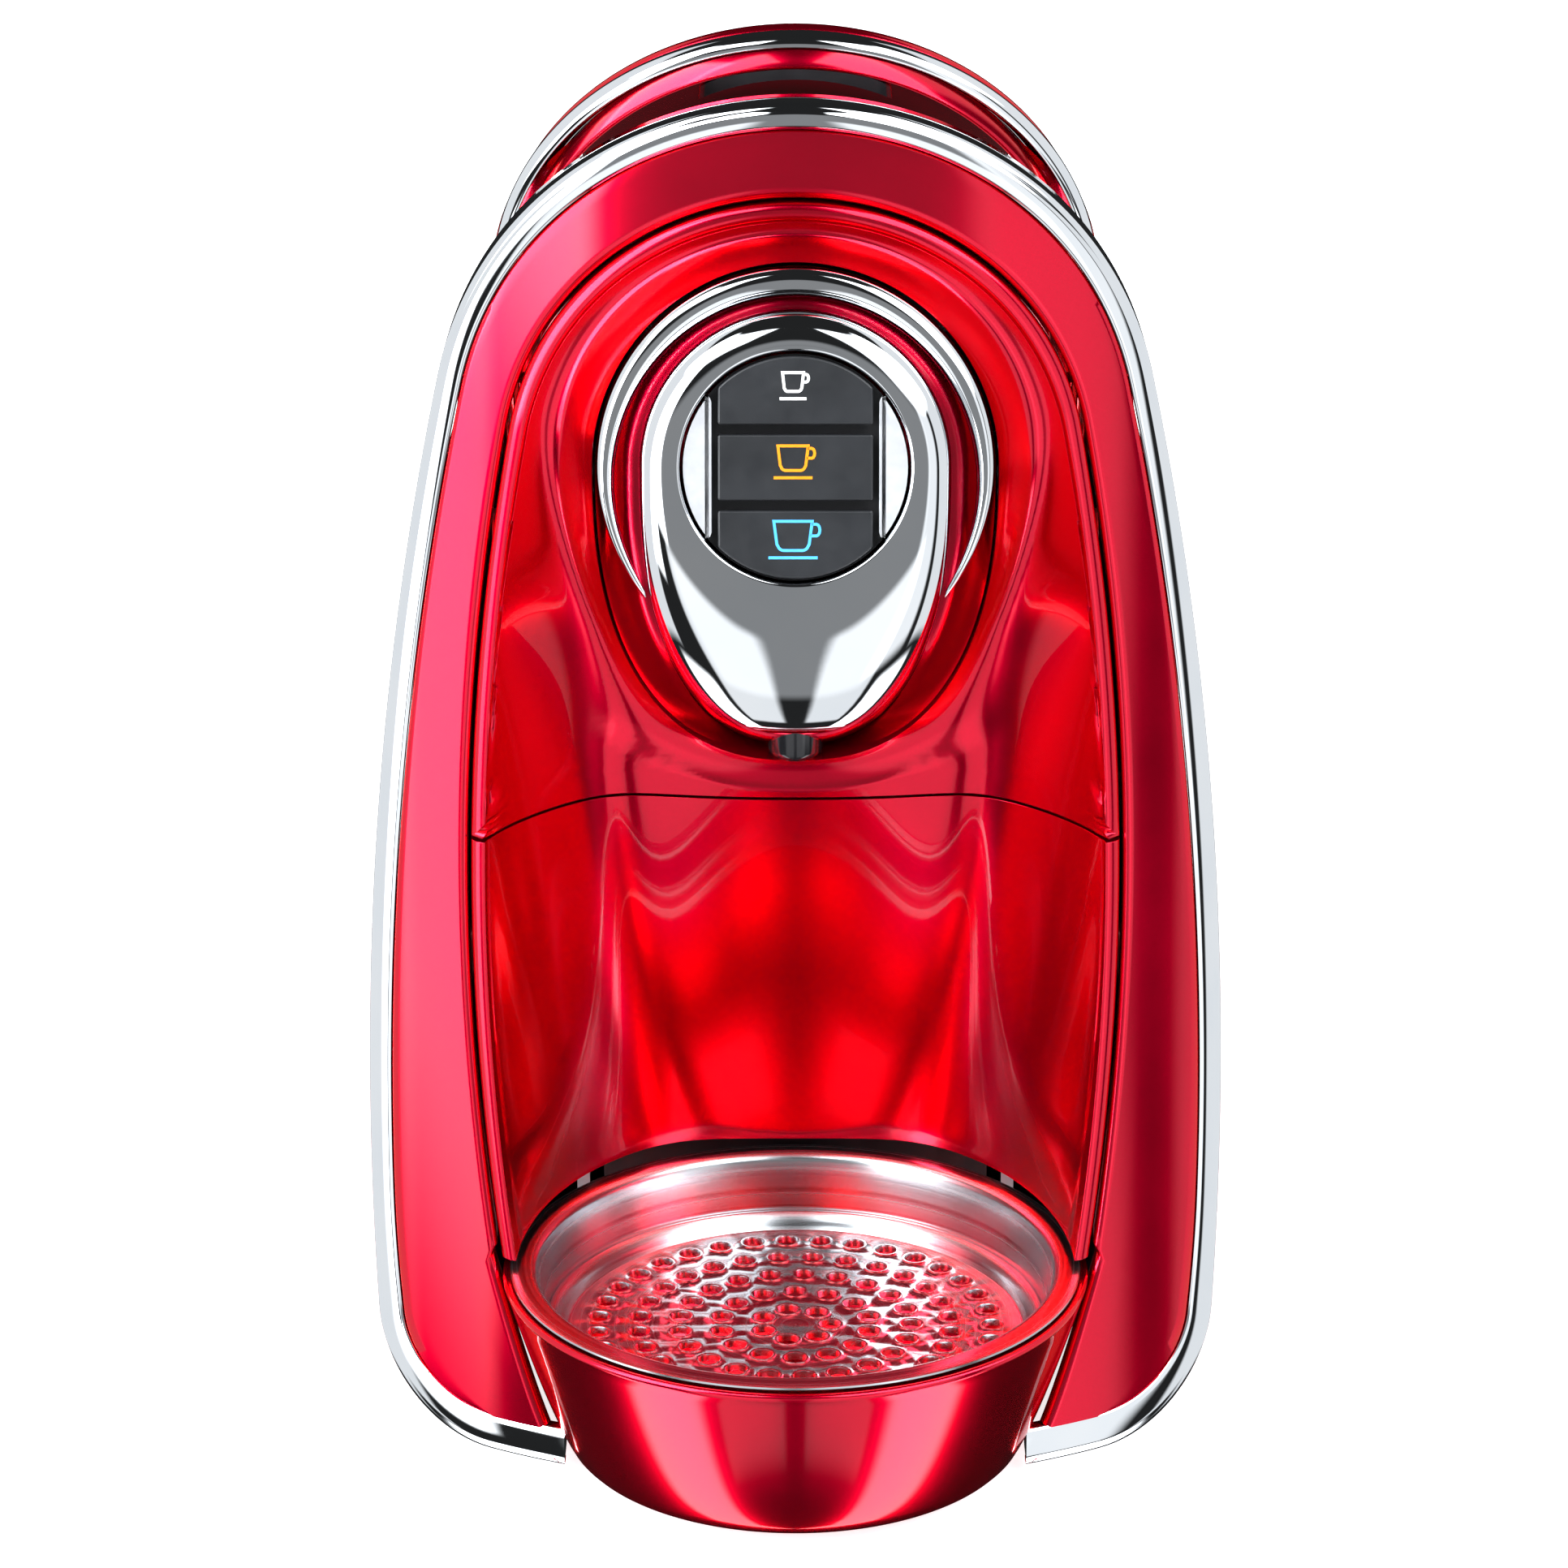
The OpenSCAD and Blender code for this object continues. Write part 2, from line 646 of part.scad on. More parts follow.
// Involute tooth, at the top of a wheel whose axis is at the origin
press_a = 20;
backlash = 0.12;
base_r = pitch_r * cos(press_a);
function inv(a) = tan(a) * 180 / PI - a;
function flank(r) = 90 / pinion_n - backlash * 90 / (PI * pitch_r)
    + inv(press_a) - (r > base_r ? inv(acos(base_r / r)) : 0);
tooth_rs = [for (i = [0 : 5]) pitch_r - 1.2 * tooth_m + i * 2.15 * tooth_m / 5];
tooth_points = concat(
    [for (r = tooth_rs) [r * sin(flank(r)), r * cos(flank(r))]],
    [for (i = [5 : -1 : 0]) let (r = tooth_rs[i]) [-r * sin(flank(r)), r * cos(flank(r))]]);
module pinion(w) {
    linear_extrude(w) difference() {
        union() {
            circle(r = pitch_r - 1.15 * tooth_m);
            for (i = [0 : pinion_n - 1]) rotate(i * 360 / pinion_n) polygon(tooth_points);
        }
        circle(r = shaft_r);
    }
}
pinion_x = 19.5;
pinion_w = 8;
module lever_pinions() {
    color(steel) at_tray() for (x = [pinion_x, -pinion_x - pinion_w])
        translate([x, shaft_y, shaft_z]) rotate([90, 0, 90]) pinion(pinion_w);
}
tooth_pitch = PI * tooth_m;
rack_tip = tooth_pitch / 4 - backlash / 2 - tooth_m * tan(press_a);
rack_foot = tooth_pitch / 4 - backlash / 2 + 1.3 * tooth_m * tan(press_a);
rack_teeth = 5;
module piston_racks() {
    color(steel) at_tray() for (x = [pinion_x, -pinion_x - pinion_w]) {
        block(x, x + pinion_w, carriage_y - 16, carriage_y + carriage_d + 8, rack_root_z, rack_top);
        for (i = [-rack_teeth : 1]) translate([0, shaft_y + (i + 0.5) * tooth_pitch, pitch_z])
            wall_x([[-rack_tip, -tooth_m], [rack_tip, -tooth_m], [rack_foot, 1.35 * tooth_m],
                [-rack_foot, 1.35 * tooth_m]], x, x + pinion_w);
    }
}

// ---------------------------------------------------------------- lever
// Lever frame: X across, Y through the band (front is negative), Z away from the shaft
module at_lever() { translate([0, shaft_y, shaft_z]) rotate([lever_lean, 0, 0]) children(); }
module lever_band(r_out, r_in, y0, y1, z0) {
    difference() {
        union() {
            translate([0, y1, lever_arm]) rotate([90, 0, 0]) cylinder(r = r_out, h = y1 - y0, $fn = 180);
            both_sides() block(r_in, r_out, y0, y1, z0, lever_arm);
        }
        translate([0, y1 + 1, lever_arm]) rotate([90, 0, 0]) cylinder(r = r_in, h = y1 - y0 + 2, $fn = 180);
        block(-r_in, r_in, y0 - 1, y1 + 1, -40, lever_arm);
    }
}
lever_in = lever_r - lever_t;
liner_d = 1.5;                             // the red liner shows this deep behind the chrome
liner_proud = 0.3;
rib_d = 4;
eye_r = 9;
module lever_arch() {
    color(chrome) at_tray() at_lever() lever_band(lever_r, lever_in, -liner_d - lever_d, -liner_d, eye_r + gap);
}
module lever_back() {
    color(red) at_tray() at_lever() difference() {
        union() {
            lever_band(lever_r + liner_proud, lever_in + liner_proud, -liner_d, 0, 0);
            lever_band(lever_r - liner_d * 2, lever_in + liner_proud, 0, rib_d, 0);
            both_sides() rod_x(lever_in + liner_proud, lever_r + 0.8, 0, 0, eye_r);
        }
        rod_x(-80, 80, 0, 0, shaft_r);
    }
}
module lever_shaft() { color(steel) at_tray() rod_x(-lever_r, lever_r, shaft_y, shaft_z, shaft_r); }
module lever_bushes() {
    color([0.75, 0.6, 0.3]) at_tray() both_sides() difference() {
        union() {
            rod_x(plate_in, plate_out, shaft_y, shaft_z, bush_r);
            rod_x(plate_out, plate_out + 1.5, shaft_y, shaft_z, bush_r + 2.5);
        }
        rod_x(0, 60, shaft_y, shaft_z, shaft_r + run_fit);
    }
}
module lever_screws() {
    color(steel) at_tray() both_sides() translate([lever_r + 3, shaft_y, shaft_z]) rotate([0, -90, 0])
        cylinder(r = shaft_r + 2.5, h = 2.1);
}

// ---------------------------------------------------------------- water and power
pump_x = -20;
pump_z = 34;
pump_r = 17;
module pump() {
    color(steel) at_tray() {
        rod_y(pump_x, 128, 196, pump_z, pump_r);
        rod_y(pump_x, 118, 128, pump_z, 6);
        rod_y(pump_x, 196, 206, pump_z, 5);
    }
}
module pump_mounts() {
    color(black) at_tray() for (y = [130, 176]) difference() {
        block(pump_x - 14, pump_x + 14, y, y + 8, base_top, pump_z);
        rod_y(pump_x, y - 1, y + 9, pump_z, pump_r);
    }
}
heater_z = 78;
module heater() {
    color(steel) at_tray() {
        block(-34, 34, 164, 196, heater_z, heater_z + 58);
        both_sides() block(34, plate_in, 176, 184, heater_z + 10, heater_z + 48);
        for (i = [0 : 4]) block(-30, 30, 161, 164, heater_z + 6 + 11 * i, heater_z + 10 + 11 * i);
    }
}
module heater_fuse() {
    color([0.8, 0.75, 0.7]) at_tray() {
        rod_z(12, 180, heater_z + 58, heater_z + 62, 9);
        rod_z(12, 180, heater_z + 62, heater_z + 68, 5);
    }
}
module flow_meter() {
    color(black) at_tray() {
        rod_z(meter_x, 160, base_top, 30, 12);
        rod_z(meter_x, 160, 30, 36, 4);
    }
}
module tank_hose() {
    color(clear_grey) at_tray() hose([[meter_x, rear_y + 3, inlet_z], [meter_x, 160, inlet_z],
        [meter_x, 160, 36]], 3);
}
module pump_hose() {
    color(clear_grey) at_tray() hose([[pump_x, 206, pump_z], [pump_x, 214, pump_z], [pump_x, 214, heater_z + 20],
        [pump_x, 196, heater_z + 20]], 3);
}
hose_z = brew_z + 28;
module brew_hose() {
    color(clear_grey) at_tray() hose([[-30, 172, heater_z + 58], [-30, 172, hose_z], [-30, 56, hose_z],
        [0, 56, hose_z], [0, 56, brew_z + block_r]], 2.5);
}
module control_board() {
    color([0.1, 0.35, 0.2]) at_tray() {
        block(-38, 38, 220, 221.6, 70, 160);
        both_sides() for (z = [76, 154]) rod_y(33, 221.6, rear_y - 2.5, z, 2.5);
        block(-30, -10, 208, 220, 106, 130);
        block(2, 22, 211, 220, 84, 100);
        rod_y(-20, 206, 220, 144, 7);
        block(4, 30, 214, 220, 118, 140);
    }
}
module drawer_rails() {
    color(steel) at_tray() both_sides() difference() {
        block(plate_in - 2.6, plate_out, 64, 135, base_top, base_top + 5.5);
        block(0, plate_in + gap - 1, 60, 140, base_top - 1, base_top + 3.4);
    }
}

// ---------------------------------------------------------------- drawer and tray
deck_z = base_top + gap;
deck_t = 2.6;
lip_y0 = tray_r + 3;
lip_y1 = lip_y0 + 3.5;
bridge_z = 62;
module lower_panel() {
    color(red) at_tray() difference() {
        union() {
            panel(tray_z + 2.5, seam_z - panel_gap / 2, 58);
            block(-28, 28, 48, lip_y1, bridge_z, bridge_z + 12);
        }
        niche(0.01);
    }
}
tongue_w = 12;
tongue_z = 18;
module drawer_base() {
    color(black) at_tray() difference() {
        union() {
            block(-plate_in + 1, plate_in - 1, lip_y0, drawer_back, deck_z, deck_z + deck_t);
            block(-28, 28, lip_y0, lip_y1, deck_z, bridge_z);
        }
        block(-tongue_w - gap, tongue_w + gap, lip_y0 - 1, lip_y1 + 1, tongue_z - gap, tongue_z + 4 + gap);
    }
}
module capsule_bin() {
    color(black) at_tray() difference() {
        block(-bin_w, bin_w, lip_y1 + gap, drawer_back, deck_z + deck_t, bin_z);
        block(-bin_w + bin_t, bin_w - bin_t, lip_y1 + gap + bin_t, drawer_back - bin_t,
            deck_z + deck_t + bin_t, bin_z + 1);
    }
}
bowl_zs = [for (i = [0 : 8]) bowl_z0 + (tray_z - bowl_z0) * i / 8];
module tray_bowl() {
    color(red) at_tray() {
        rotate_extrude($fn = 180) polygon(concat(
            [[0, bowl_z0]], [for (z = bowl_zs) [bowl_r(z), z]],
            [for (i = [8 : -1 : 1]) [bowl_r(bowl_zs[i]) - tray_t, bowl_zs[i]]],
            [[tray_foot_r - tray_t, bowl_z0 + tray_t], [0, bowl_z0 + tray_t]]));
        difference() {
            block(-tongue_w, tongue_w, 40, lip_y1, tongue_z, tongue_z + 4);
            rotate_extrude() polygon(concat([[0, bowl_z0]],
                [for (z = bowl_zs) [bowl_r(z) - tray_t / 2, z]], [[0, tray_z]]));
        }
    }
}
dish_z = 23;
dish_t = 0.8;
step_r = grille_r + 3;
module tray_dish() {
    color(steel) at_tray() rotate_extrude($fn = 180) polygon([
        [step_r - 4, dish_z], [step_r + 2, dish_z], [dish_r - 4.5, tray_z - 1], [dish_r - 3.5, tray_z + 1],
        [dish_r, tray_z + 1], [dish_r, tray_z + 0.2], [dish_r - 2.6, tray_z + 0.2], [dish_r - 3.7, tray_z - 2],
        [step_r + 2.7, dish_z - dish_t], [step_r - 4, dish_z - dish_t]]);
}
module tray_grille() {
    color(steel) at_tray() difference() {
        translate([0, 0, dish_z + gap]) cylinder(r = grille_r + 1.5, h = 1.2, $fn = 180);
        for (ring = [0 : 4]) for (i = [0 : 6 + 7 * ring])
            rotate((i + ring / 2) * 360 / (7 + 7 * ring)) translate([6.5 + ring * 7.6, 0, 0])
                cylinder(r = drain_r, h = 60, $fn = 24);
    }
}

// ---------------------------------------------------------------- water tank
tank_y0 = rear_y + 3;
tank_y1 = back_y - 5;
tank_z0 = base_top + 6;
outlet_y = tank_y0 + 22;
boss_r = 8;
valve_r = 3;
lid_t = 3;
pin_y = back_y - 3.5;
knuckle_r = 3.2;
pin_z = tank_z + gap + knuckle_r;
module water_tank() {
    color(clear_grey) at_tray() difference() {
        union() {
            rounded(-tank_w, tank_w, tank_y0, tank_y1, tank_z0, tank_z, 10);
            rod_z(0, outlet_y, base_top + 1, tank_z0, boss_r);
            both_sides() block(30, 36, tank_y1 - 1, back_y, pin_z - 14, pin_z);
            both_sides() rod_x(30, 36, pin_y, pin_z, knuckle_r - 0.2);
        }
        rounded(-tank_w + tank_t, tank_w - tank_t, tank_y0 + tank_t, tank_y1 - tank_t, tank_z0 + tank_t, far, 8);
        rod_z(0, outlet_y, 0, 40, valve_r + 1);
        both_sides() rod_x(20, 40, pin_y, pin_z, 1.5 + run_fit);
    }
}
module tank_strainer() {
    color(steel) at_tray() difference() {
        rod_z(0, outlet_y, tank_z0 + tank_t, tank_z0 + 16, 8);
        rod_z(0, outlet_y, tank_z0, tank_z0 + 14.5, 7);
    }
}
module tank_lid() {
    color(black) at_tray() {
        rounded(-tank_w, tank_w, tank_y0, tank_y1 - 2, tank_z + gap, tank_z + gap + lid_t, 10);
        block(-22, 22, tank_y0 + 6, tank_y0 + 10, tank_z + gap + lid_t, tank_z + lid_t + 4);
        block(-29.5, 29.5, tank_y1 - 3, pin_y, tank_z + gap, tank_z + gap + lid_t);
        rod_x(-29.5, 29.5, pin_y, pin_z, knuckle_r);
        rod_x(-36, 36, pin_y, pin_z, 1.5);
    }
}
module tank_socket() {
    color(black) at_tray() difference() {
        union() {
            rod_z(0, outlet_y, base_top, base_top + 5.5, boss_r + 4);
            block(meter_x - 6, meter_x + 6, rear_y, rear_y + 2.6, inlet_z - 8, inlet_z + 8);
        }
        rod_z(0, outlet_y, base_top + 0.8, base_top + 9, boss_r + gap);
        rod_y(meter_x, 200, 300, inlet_z, 3.1);
    }
}
valve_z = base_top + 1.2;
module tank_valve() {
    color(steel) at_tray() {
        rod_z(0, outlet_y, valve_z, tank_z0 + 9, valve_r - 1);
        rod_z(0, outlet_y, tank_z0 + tank_t + 0.2, tank_z0 + tank_t + 2, valve_r + 2);
    }
}
module valve_spring() {
    color(steel) at_tray() for (i = [0 : 3]) translate([0, outlet_y, tank_z0 + tank_t + 3 + 2.4 * i])
        rotate_extrude($fn = 48) translate([4, 0]) circle(r = 0.4, $fn = 16);
}

base_plate();
rubber_feet();
base_screws();
fascia_frame();
fascia_trim();
upper_panel();
brew_ring();
head_neck();
head_cover();
key_carrier();
key_inlays();
key_board();
key_small();
key_medium();
key_large();
coffee_duct();
spout();
side_shell_left();
side_shell_right();
top_cover();
capsule_chute();
rear_panel();
cord_gland();
switch_housing();
power_rocker();
chassis();
brew_block();
brew_seal();
guide_rods();
piston_carriage();
piston_head();
piston_racks();
lever_arch();
lever_back();
lever_shaft();
lever_pinions();
lever_bushes();
lever_screws();
pump();
pump_mounts();
heater();
heater_fuse();
flow_meter();
tank_hose();
pump_hose();
brew_hose();
control_board();
drawer_rails();
lower_panel();
drawer_base();
capsule_bin();
tray_bowl();
tray_dish();
tray_grille();
water_tank();
tank_strainer();
tank_lid();
tank_socket();
tank_valve();
valve_spring();
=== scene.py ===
"""The looks of the capsule coffee machine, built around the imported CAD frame.

Lengths are in millimetres and measured from the drip tray's centre, X across, -Y to the
user, +Z up; place() turns such a point into the frame's metres.
"""

import json
from math import acos, asin, atan2, copysign, cos, exp, hypot, log, pi, radians, sin, sqrt

import bmesh
import bpy
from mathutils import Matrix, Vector
from mathutils.geometry import delaunay_2d_cdt


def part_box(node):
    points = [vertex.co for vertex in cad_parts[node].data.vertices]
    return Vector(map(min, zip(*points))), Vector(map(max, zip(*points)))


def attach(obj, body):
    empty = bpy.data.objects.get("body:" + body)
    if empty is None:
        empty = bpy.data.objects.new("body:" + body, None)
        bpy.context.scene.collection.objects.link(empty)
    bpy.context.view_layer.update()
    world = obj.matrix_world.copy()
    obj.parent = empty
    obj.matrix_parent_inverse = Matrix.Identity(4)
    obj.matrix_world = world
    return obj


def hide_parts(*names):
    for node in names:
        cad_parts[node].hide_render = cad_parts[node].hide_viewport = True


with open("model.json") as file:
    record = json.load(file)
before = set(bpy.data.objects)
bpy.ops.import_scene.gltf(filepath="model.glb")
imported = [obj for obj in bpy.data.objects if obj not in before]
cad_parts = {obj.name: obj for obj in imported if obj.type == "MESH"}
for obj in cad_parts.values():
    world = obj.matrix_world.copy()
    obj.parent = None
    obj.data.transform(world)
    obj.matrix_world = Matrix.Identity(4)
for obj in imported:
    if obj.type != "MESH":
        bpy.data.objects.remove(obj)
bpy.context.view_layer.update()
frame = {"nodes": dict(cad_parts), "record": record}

MM = 0.001


def span(node, axis):
    """Lowest and highest coordinate of a CAD node along an axis, in millimetres."""
    low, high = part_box(node)
    return low[axis] / MM, high[axis] / MM


# ---------------------------------------------------------------- sizes
TRAY_Y = sum(span("tray_dish", 1)) / 2        # the tray's centre in the machine's frame
HALF_W = span("fascia_trim", 0)[1]
FRONT_H = span("fascia_trim", 2)[1]
GROUND_GAP = span("fascia_trim", 2)[0]
OPEN_H = span("upper_panel", 2)[1] + 0.6
REAR_Y = span("rear_panel", 1)[1] - TRAY_Y
BASE_TOP = span("base_plate", 2)[1]
RIM_Z = span("tray_bowl", 2)[1]
TANK_HALF = span("tank_lid", 0)[1]

LEAN = radians(8.5)
FRONT_R = 120.0
FRONT_SET = 22.0
SIDE_R = 640.0
WIDEST_Z = 60.0
CORNER_R = 22.0
TRIM_W = 4.6
TRIM_D = 10.0
FRAME_T = 4.0
OPEN_HALF = 60.0
OPEN_Z = 107.0
OPEN_SIDE_R = 450.0
GAP = 0.6
BEAD = 3.2                                    # width of the raised lip round the insert
SEAM_Z = 117.0
PANEL_T = 3.0

HEAD_TILT = radians(15)
HEAD_SET = 18.0
HEAD_Z = 195.5
HEAD_R = 27.0
HEAD_LOW = 48.5                               # from the window's centre to the chin's tip
CHIN_POWER = 2.4                              # how square the chin's outline is
WINDOW_R = 19.5
KEY_W = 27.0
RING_R = 34.5
NECK_W = -9.0                                 # the neck's rim along the head's axis
SPOUT_R = 4.8
SPOUT_SET = 18.0

TRAY_R = 54.5
FOOT_R = 42.0
BOWL_Z0 = 3.0
DISH_R = 53.0
DISH_Z = 23.0
GRILLE_R = 41.0

SHAFT_Y = 105.0
SHAFT_Z = 145.0
LEVER_LEAN = radians(23.9)
LEVER_R = 57.0
LEVER_ARM = 68.0
LEVER_T = 7.0
LINER_R = LEVER_R + 0.3

SHELL_Z = 200.0
SHELL_T = 2.5
SHELL_INSET = 4.0
COVER_R = 46.5
COVER_Z0 = 176.0
ROLL_R = 5.0                                  # rounding of the shells' edges
NOTCH_Y = (60.0, 158.0)                       # where the lever's arms pass the side shells
SLOT_Y = (70.0, 96.0)                         # the capsule slot in the top cover
SLOT_W = 18.0
SWITCH_Y = 197.0
SWITCH_Z = 60.0
BRIDGE = (47.0, 61.0)                         # from the lower panel to the drawer behind it

TANK_Z0 = 14.0
TANK_Z = 196.0
TANK_WALL = 2.2
TANK_Y0 = REAR_Y + 3
TANK_CORNER = 10.0
LUG_X = (30.0, 36.0)
HINGE_Z = 199.5
PIN_R = 1.5
KNUCKLE_R = 3.2
FOOT_Y = (24.0, 288.0)

# ---------------------------------------------------------------- the front's outlines
CORNER_Z = GROUND_GAP + CORNER_R
CORNER_X = HALF_W - SIDE_R + sqrt((SIDE_R - CORNER_R) ** 2 - (CORNER_Z - WIDEST_Z) ** 2)


def crown(w, h, z, r):
    """Height of the crown circle that is tangent to both side circles."""
    return ((r - w) ** 2 + z * z - (r - h) ** 2) / (2 * z + 2 * (r - h))


CROWN_Z = crown(HALF_W, FRONT_H, WIDEST_Z, SIDE_R)
SIDE_A0 = atan2(CORNER_Z - WIDEST_Z, CORNER_X - HALF_W + SIDE_R)
SIDE_A1 = atan2(CROWN_Z - WIDEST_Z, SIDE_R - HALF_W)
OPEN_CROWN = crown(OPEN_HALF, OPEN_H, OPEN_Z, OPEN_SIDE_R)
OPEN_A0 = -asin((OPEN_Z - RIM_Z - 3) / OPEN_SIDE_R)
OPEN_A1 = atan2(OPEN_CROWN - OPEN_Z, OPEN_SIDE_R - OPEN_HALF)
KNOTS = (0.14, 0.66)                          # where foot, side and crown meet along an outline


def mix(a, b, t):
    return a + (b - a) * t


def on_arc(cx, cz, r, angle):
    return cx + r * cos(angle), cz + r * sin(angle)


def along(s):
    """The stretch of an outline that s (0 at the foot, 1 at the crown) lies on, and the share of it."""
    if s < KNOTS[0]:
        return 0, s / KNOTS[0]
    if s < KNOTS[1]:
        return 1, (s - KNOTS[0]) / (KNOTS[1] - KNOTS[0])
    return 2, (s - KNOTS[1]) / (1 - KNOTS[1])


def outline(s, inset):
    """Right half of the front's outline, moved inwards."""
    stretch, t = along(s)
    if stretch == 0:
        return on_arc(CORNER_X, CORNER_Z, CORNER_R - inset, mix(-pi / 2, SIDE_A0, t))
    if stretch == 1:
        return on_arc(HALF_W - SIDE_R, WIDEST_Z, SIDE_R - inset, mix(SIDE_A0, SIDE_A1, t))
    return on_arc(0, CROWN_Z, FRONT_H - CROWN_Z - inset, mix(SIDE_A1, pi / 2, t))


def bowl_r(z):
    share = max(0.0, (z - BOWL_Z0) / (RIM_Z - BOWL_Z0))
    return FOOT_R + (TRAY_R - FOOT_R) * share ** 0.8


def opening(s, inset):
    """Right half of the opening's outline, moved inwards; its foot follows the tray bowl."""
    stretch, t = along(s)
    if stretch == 0:
        z = mix(GROUND_GAP, RIM_Z + 3, t)
        return bowl_r(z) + 0.8 - inset, z
    if stretch == 1:
        return on_arc(OPEN_HALF - OPEN_SIDE_R, OPEN_Z, OPEN_SIDE_R - inset, mix(OPEN_A0, OPEN_A1, t))
    return on_arc(0, OPEN_CROWN, OPEN_H - OPEN_CROWN - inset, mix(OPEN_A1, pi / 2, t))


def arch(curve, u, inset):
    """A point on a whole outline: u runs from -1, the left foot, over the crown to 1."""
    x, z = curve(1 - abs(u), inset)
    return (x if u > 0 else -x), z


def front_y(x, z, depth=0.0):
    """Where the leaning front lies, or a surface that is depth behind it."""
    q = FRONT_R - sqrt((FRONT_R - depth) ** 2 - x * x)
    return -FRONT_SET + (q + z * sin(LEAN)) / cos(LEAN)


def roll(distance, r):
    """How far a rounded edge of radius r falls back at a distance from the edge."""
    return r - sqrt(r * r - (r - distance) ** 2) if distance < r else 0.0


# ---------------------------------------------------------------- meshes
def place(p):
    return p[0] * MM, (p[1] + TRAY_Y) * MM, p[2] * MM


def steps(a, b, n):
    return [mix(a, b, i / n) for i in range(n + 1)]


def turns(n):
    """Angles of a full turn in n equal steps."""
    return steps(0, 2 * pi, n)[:-1]


def circle(x, y, r, n):
    return [(x + r * cos(a), y + r * sin(a)) for a in turns(n)]


def eased(a, b, n, power=2.0):
    """Steps that are closer together towards a."""
    return [mix(a, b, (i / n) ** power) for i in range(n + 1)]


def loft(rings, wrap=False):
    """Vertices and faces of a solid through closed rings; one that isn't wrapped is capped."""
    n = len(rings[0])
    verts = [p for ring in rings for p in ring]
    faces = []
    for i in range(len(rings) - (0 if wrap else 1)):
        a, b = i * n, (i + 1) % len(rings) * n
        faces += [(a + j, a + (j + 1) % n, b + (j + 1) % n, b + j) for j in range(n)]
    if not wrap:
        faces += [tuple(range(n)), tuple(range(len(verts) - n, len(verts)))]
    return verts, faces


def lathe(profile, n, centre=(0.0, 0.0)):
    """A solid of revolution about a vertical axis, from (radius, height) points."""
    return loft([[(x, y, z) for x, y in circle(*centre, r, n)] for r, z in profile])


def sheet(rows, hole=lambda i, j: False):
    """An open grid; hole(i, j) is true where a face is left out."""
    n = len(rows[0])
    verts = [p for row in rows for p in row]
    faces = [(i * n + j, i * n + j + 1, (i + 1) * n + j + 1, (i + 1) * n + j)
             for i in range(len(rows) - 1) for j in range(n - 1) if not hole(i, j)]
    return verts, faces


def piece(name, parts, body, material, nodes=(), bevel=0.4, wall=0.0, angle=35):
    """Makes one object of one or more solids, rounds its edges and ties it to the frame."""
    mesh = bpy.data.meshes.new(name)
    verts, faces = [], []
    for part_verts, part_faces in parts:
        faces += [tuple(i + len(verts) for i in face) for face in part_faces]
        verts += part_verts
    mesh.from_pydata([place(v) for v in verts], [], faces)
    bm = bmesh.new()
    bm.from_mesh(mesh)
    bmesh.ops.remove_doubles(bm, verts=bm.verts, dist=1e-6)
    loose = [v for v in bm.verts if not v.link_faces]
    bmesh.ops.delete(bm, geom=loose, context="VERTS")
    bmesh.ops.recalc_face_normals(bm, faces=bm.faces)
    bm.to_mesh(mesh)
    bm.free()
    obj = bpy.data.objects.new(name, mesh)
    bpy.context.scene.collection.objects.link(obj)
    if wall:
        solidify = obj.modifiers.new("wall", "SOLIDIFY")
        solidify.thickness = wall * MM
        solidify.offset = -1
        solidify.use_even_offset = True
    if bevel:
        rounding = obj.modifiers.new("edges", "BEVEL")
        rounding.width = bevel * MM
        rounding.segments = 3
        rounding.limit_method = "ANGLE"
        rounding.angle_limit = radians(angle)
        rounding.harden_normals = True
    mesh.shade_smooth()
    mesh.set_sharp_from_angle(angle=radians(angle))
    mesh.materials.append(material)
    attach(obj, body)
    if nodes:
        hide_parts(*nodes)
    return obj


# ---------------------------------------------------------------- materials
def set_sockets(node, **values):
    """Sets a node's own sockets; an underscore in a key stands for a space."""
    for key, value in values.items():
        node.inputs[key.replace("_", " ")].default_value = value


def principled(mat):
    return mat.node_tree.nodes["Principled BSDF"]


def new_material(name, slot, colour, metallic, roughness, **sockets):
    """A Principled material; uniform values sit on the shader's own sockets."""
    mat = bpy.data.materials.new(name)
    mat["slot"] = slot
    mat.use_nodes = True
    set_sockets(principled(mat), Base_Color=(*colour, 1), Metallic=metallic, Roughness=roughness,
                **sockets)
    return mat


def add(mat, kind, **settings):
    node = mat.node_tree.nodes.new(kind)
    for key, value in settings.items():
        setattr(node, key, value)
    return node


def join(mat, source, output, target, socket):
    mat.node_tree.links.new(source.outputs[output], target.inputs[socket])


def noise(mat, scale, detail=4.0, stretch=(1, 1, 1)):
    """Noise on the object's own coordinates, stretched along an axis where it is brushed."""
    coords = add(mat, "ShaderNodeTexCoord")
    mapping = add(mat, "ShaderNodeMapping")
    set_sockets(mapping, Scale=stretch)
    texture = add(mat, "ShaderNodeTexNoise")
    set_sockets(texture, Scale=scale, Detail=detail)
    join(mat, coords, "Object", mapping, "Vector")
    join(mat, mapping, "Vector", texture, "Vector")
    return texture


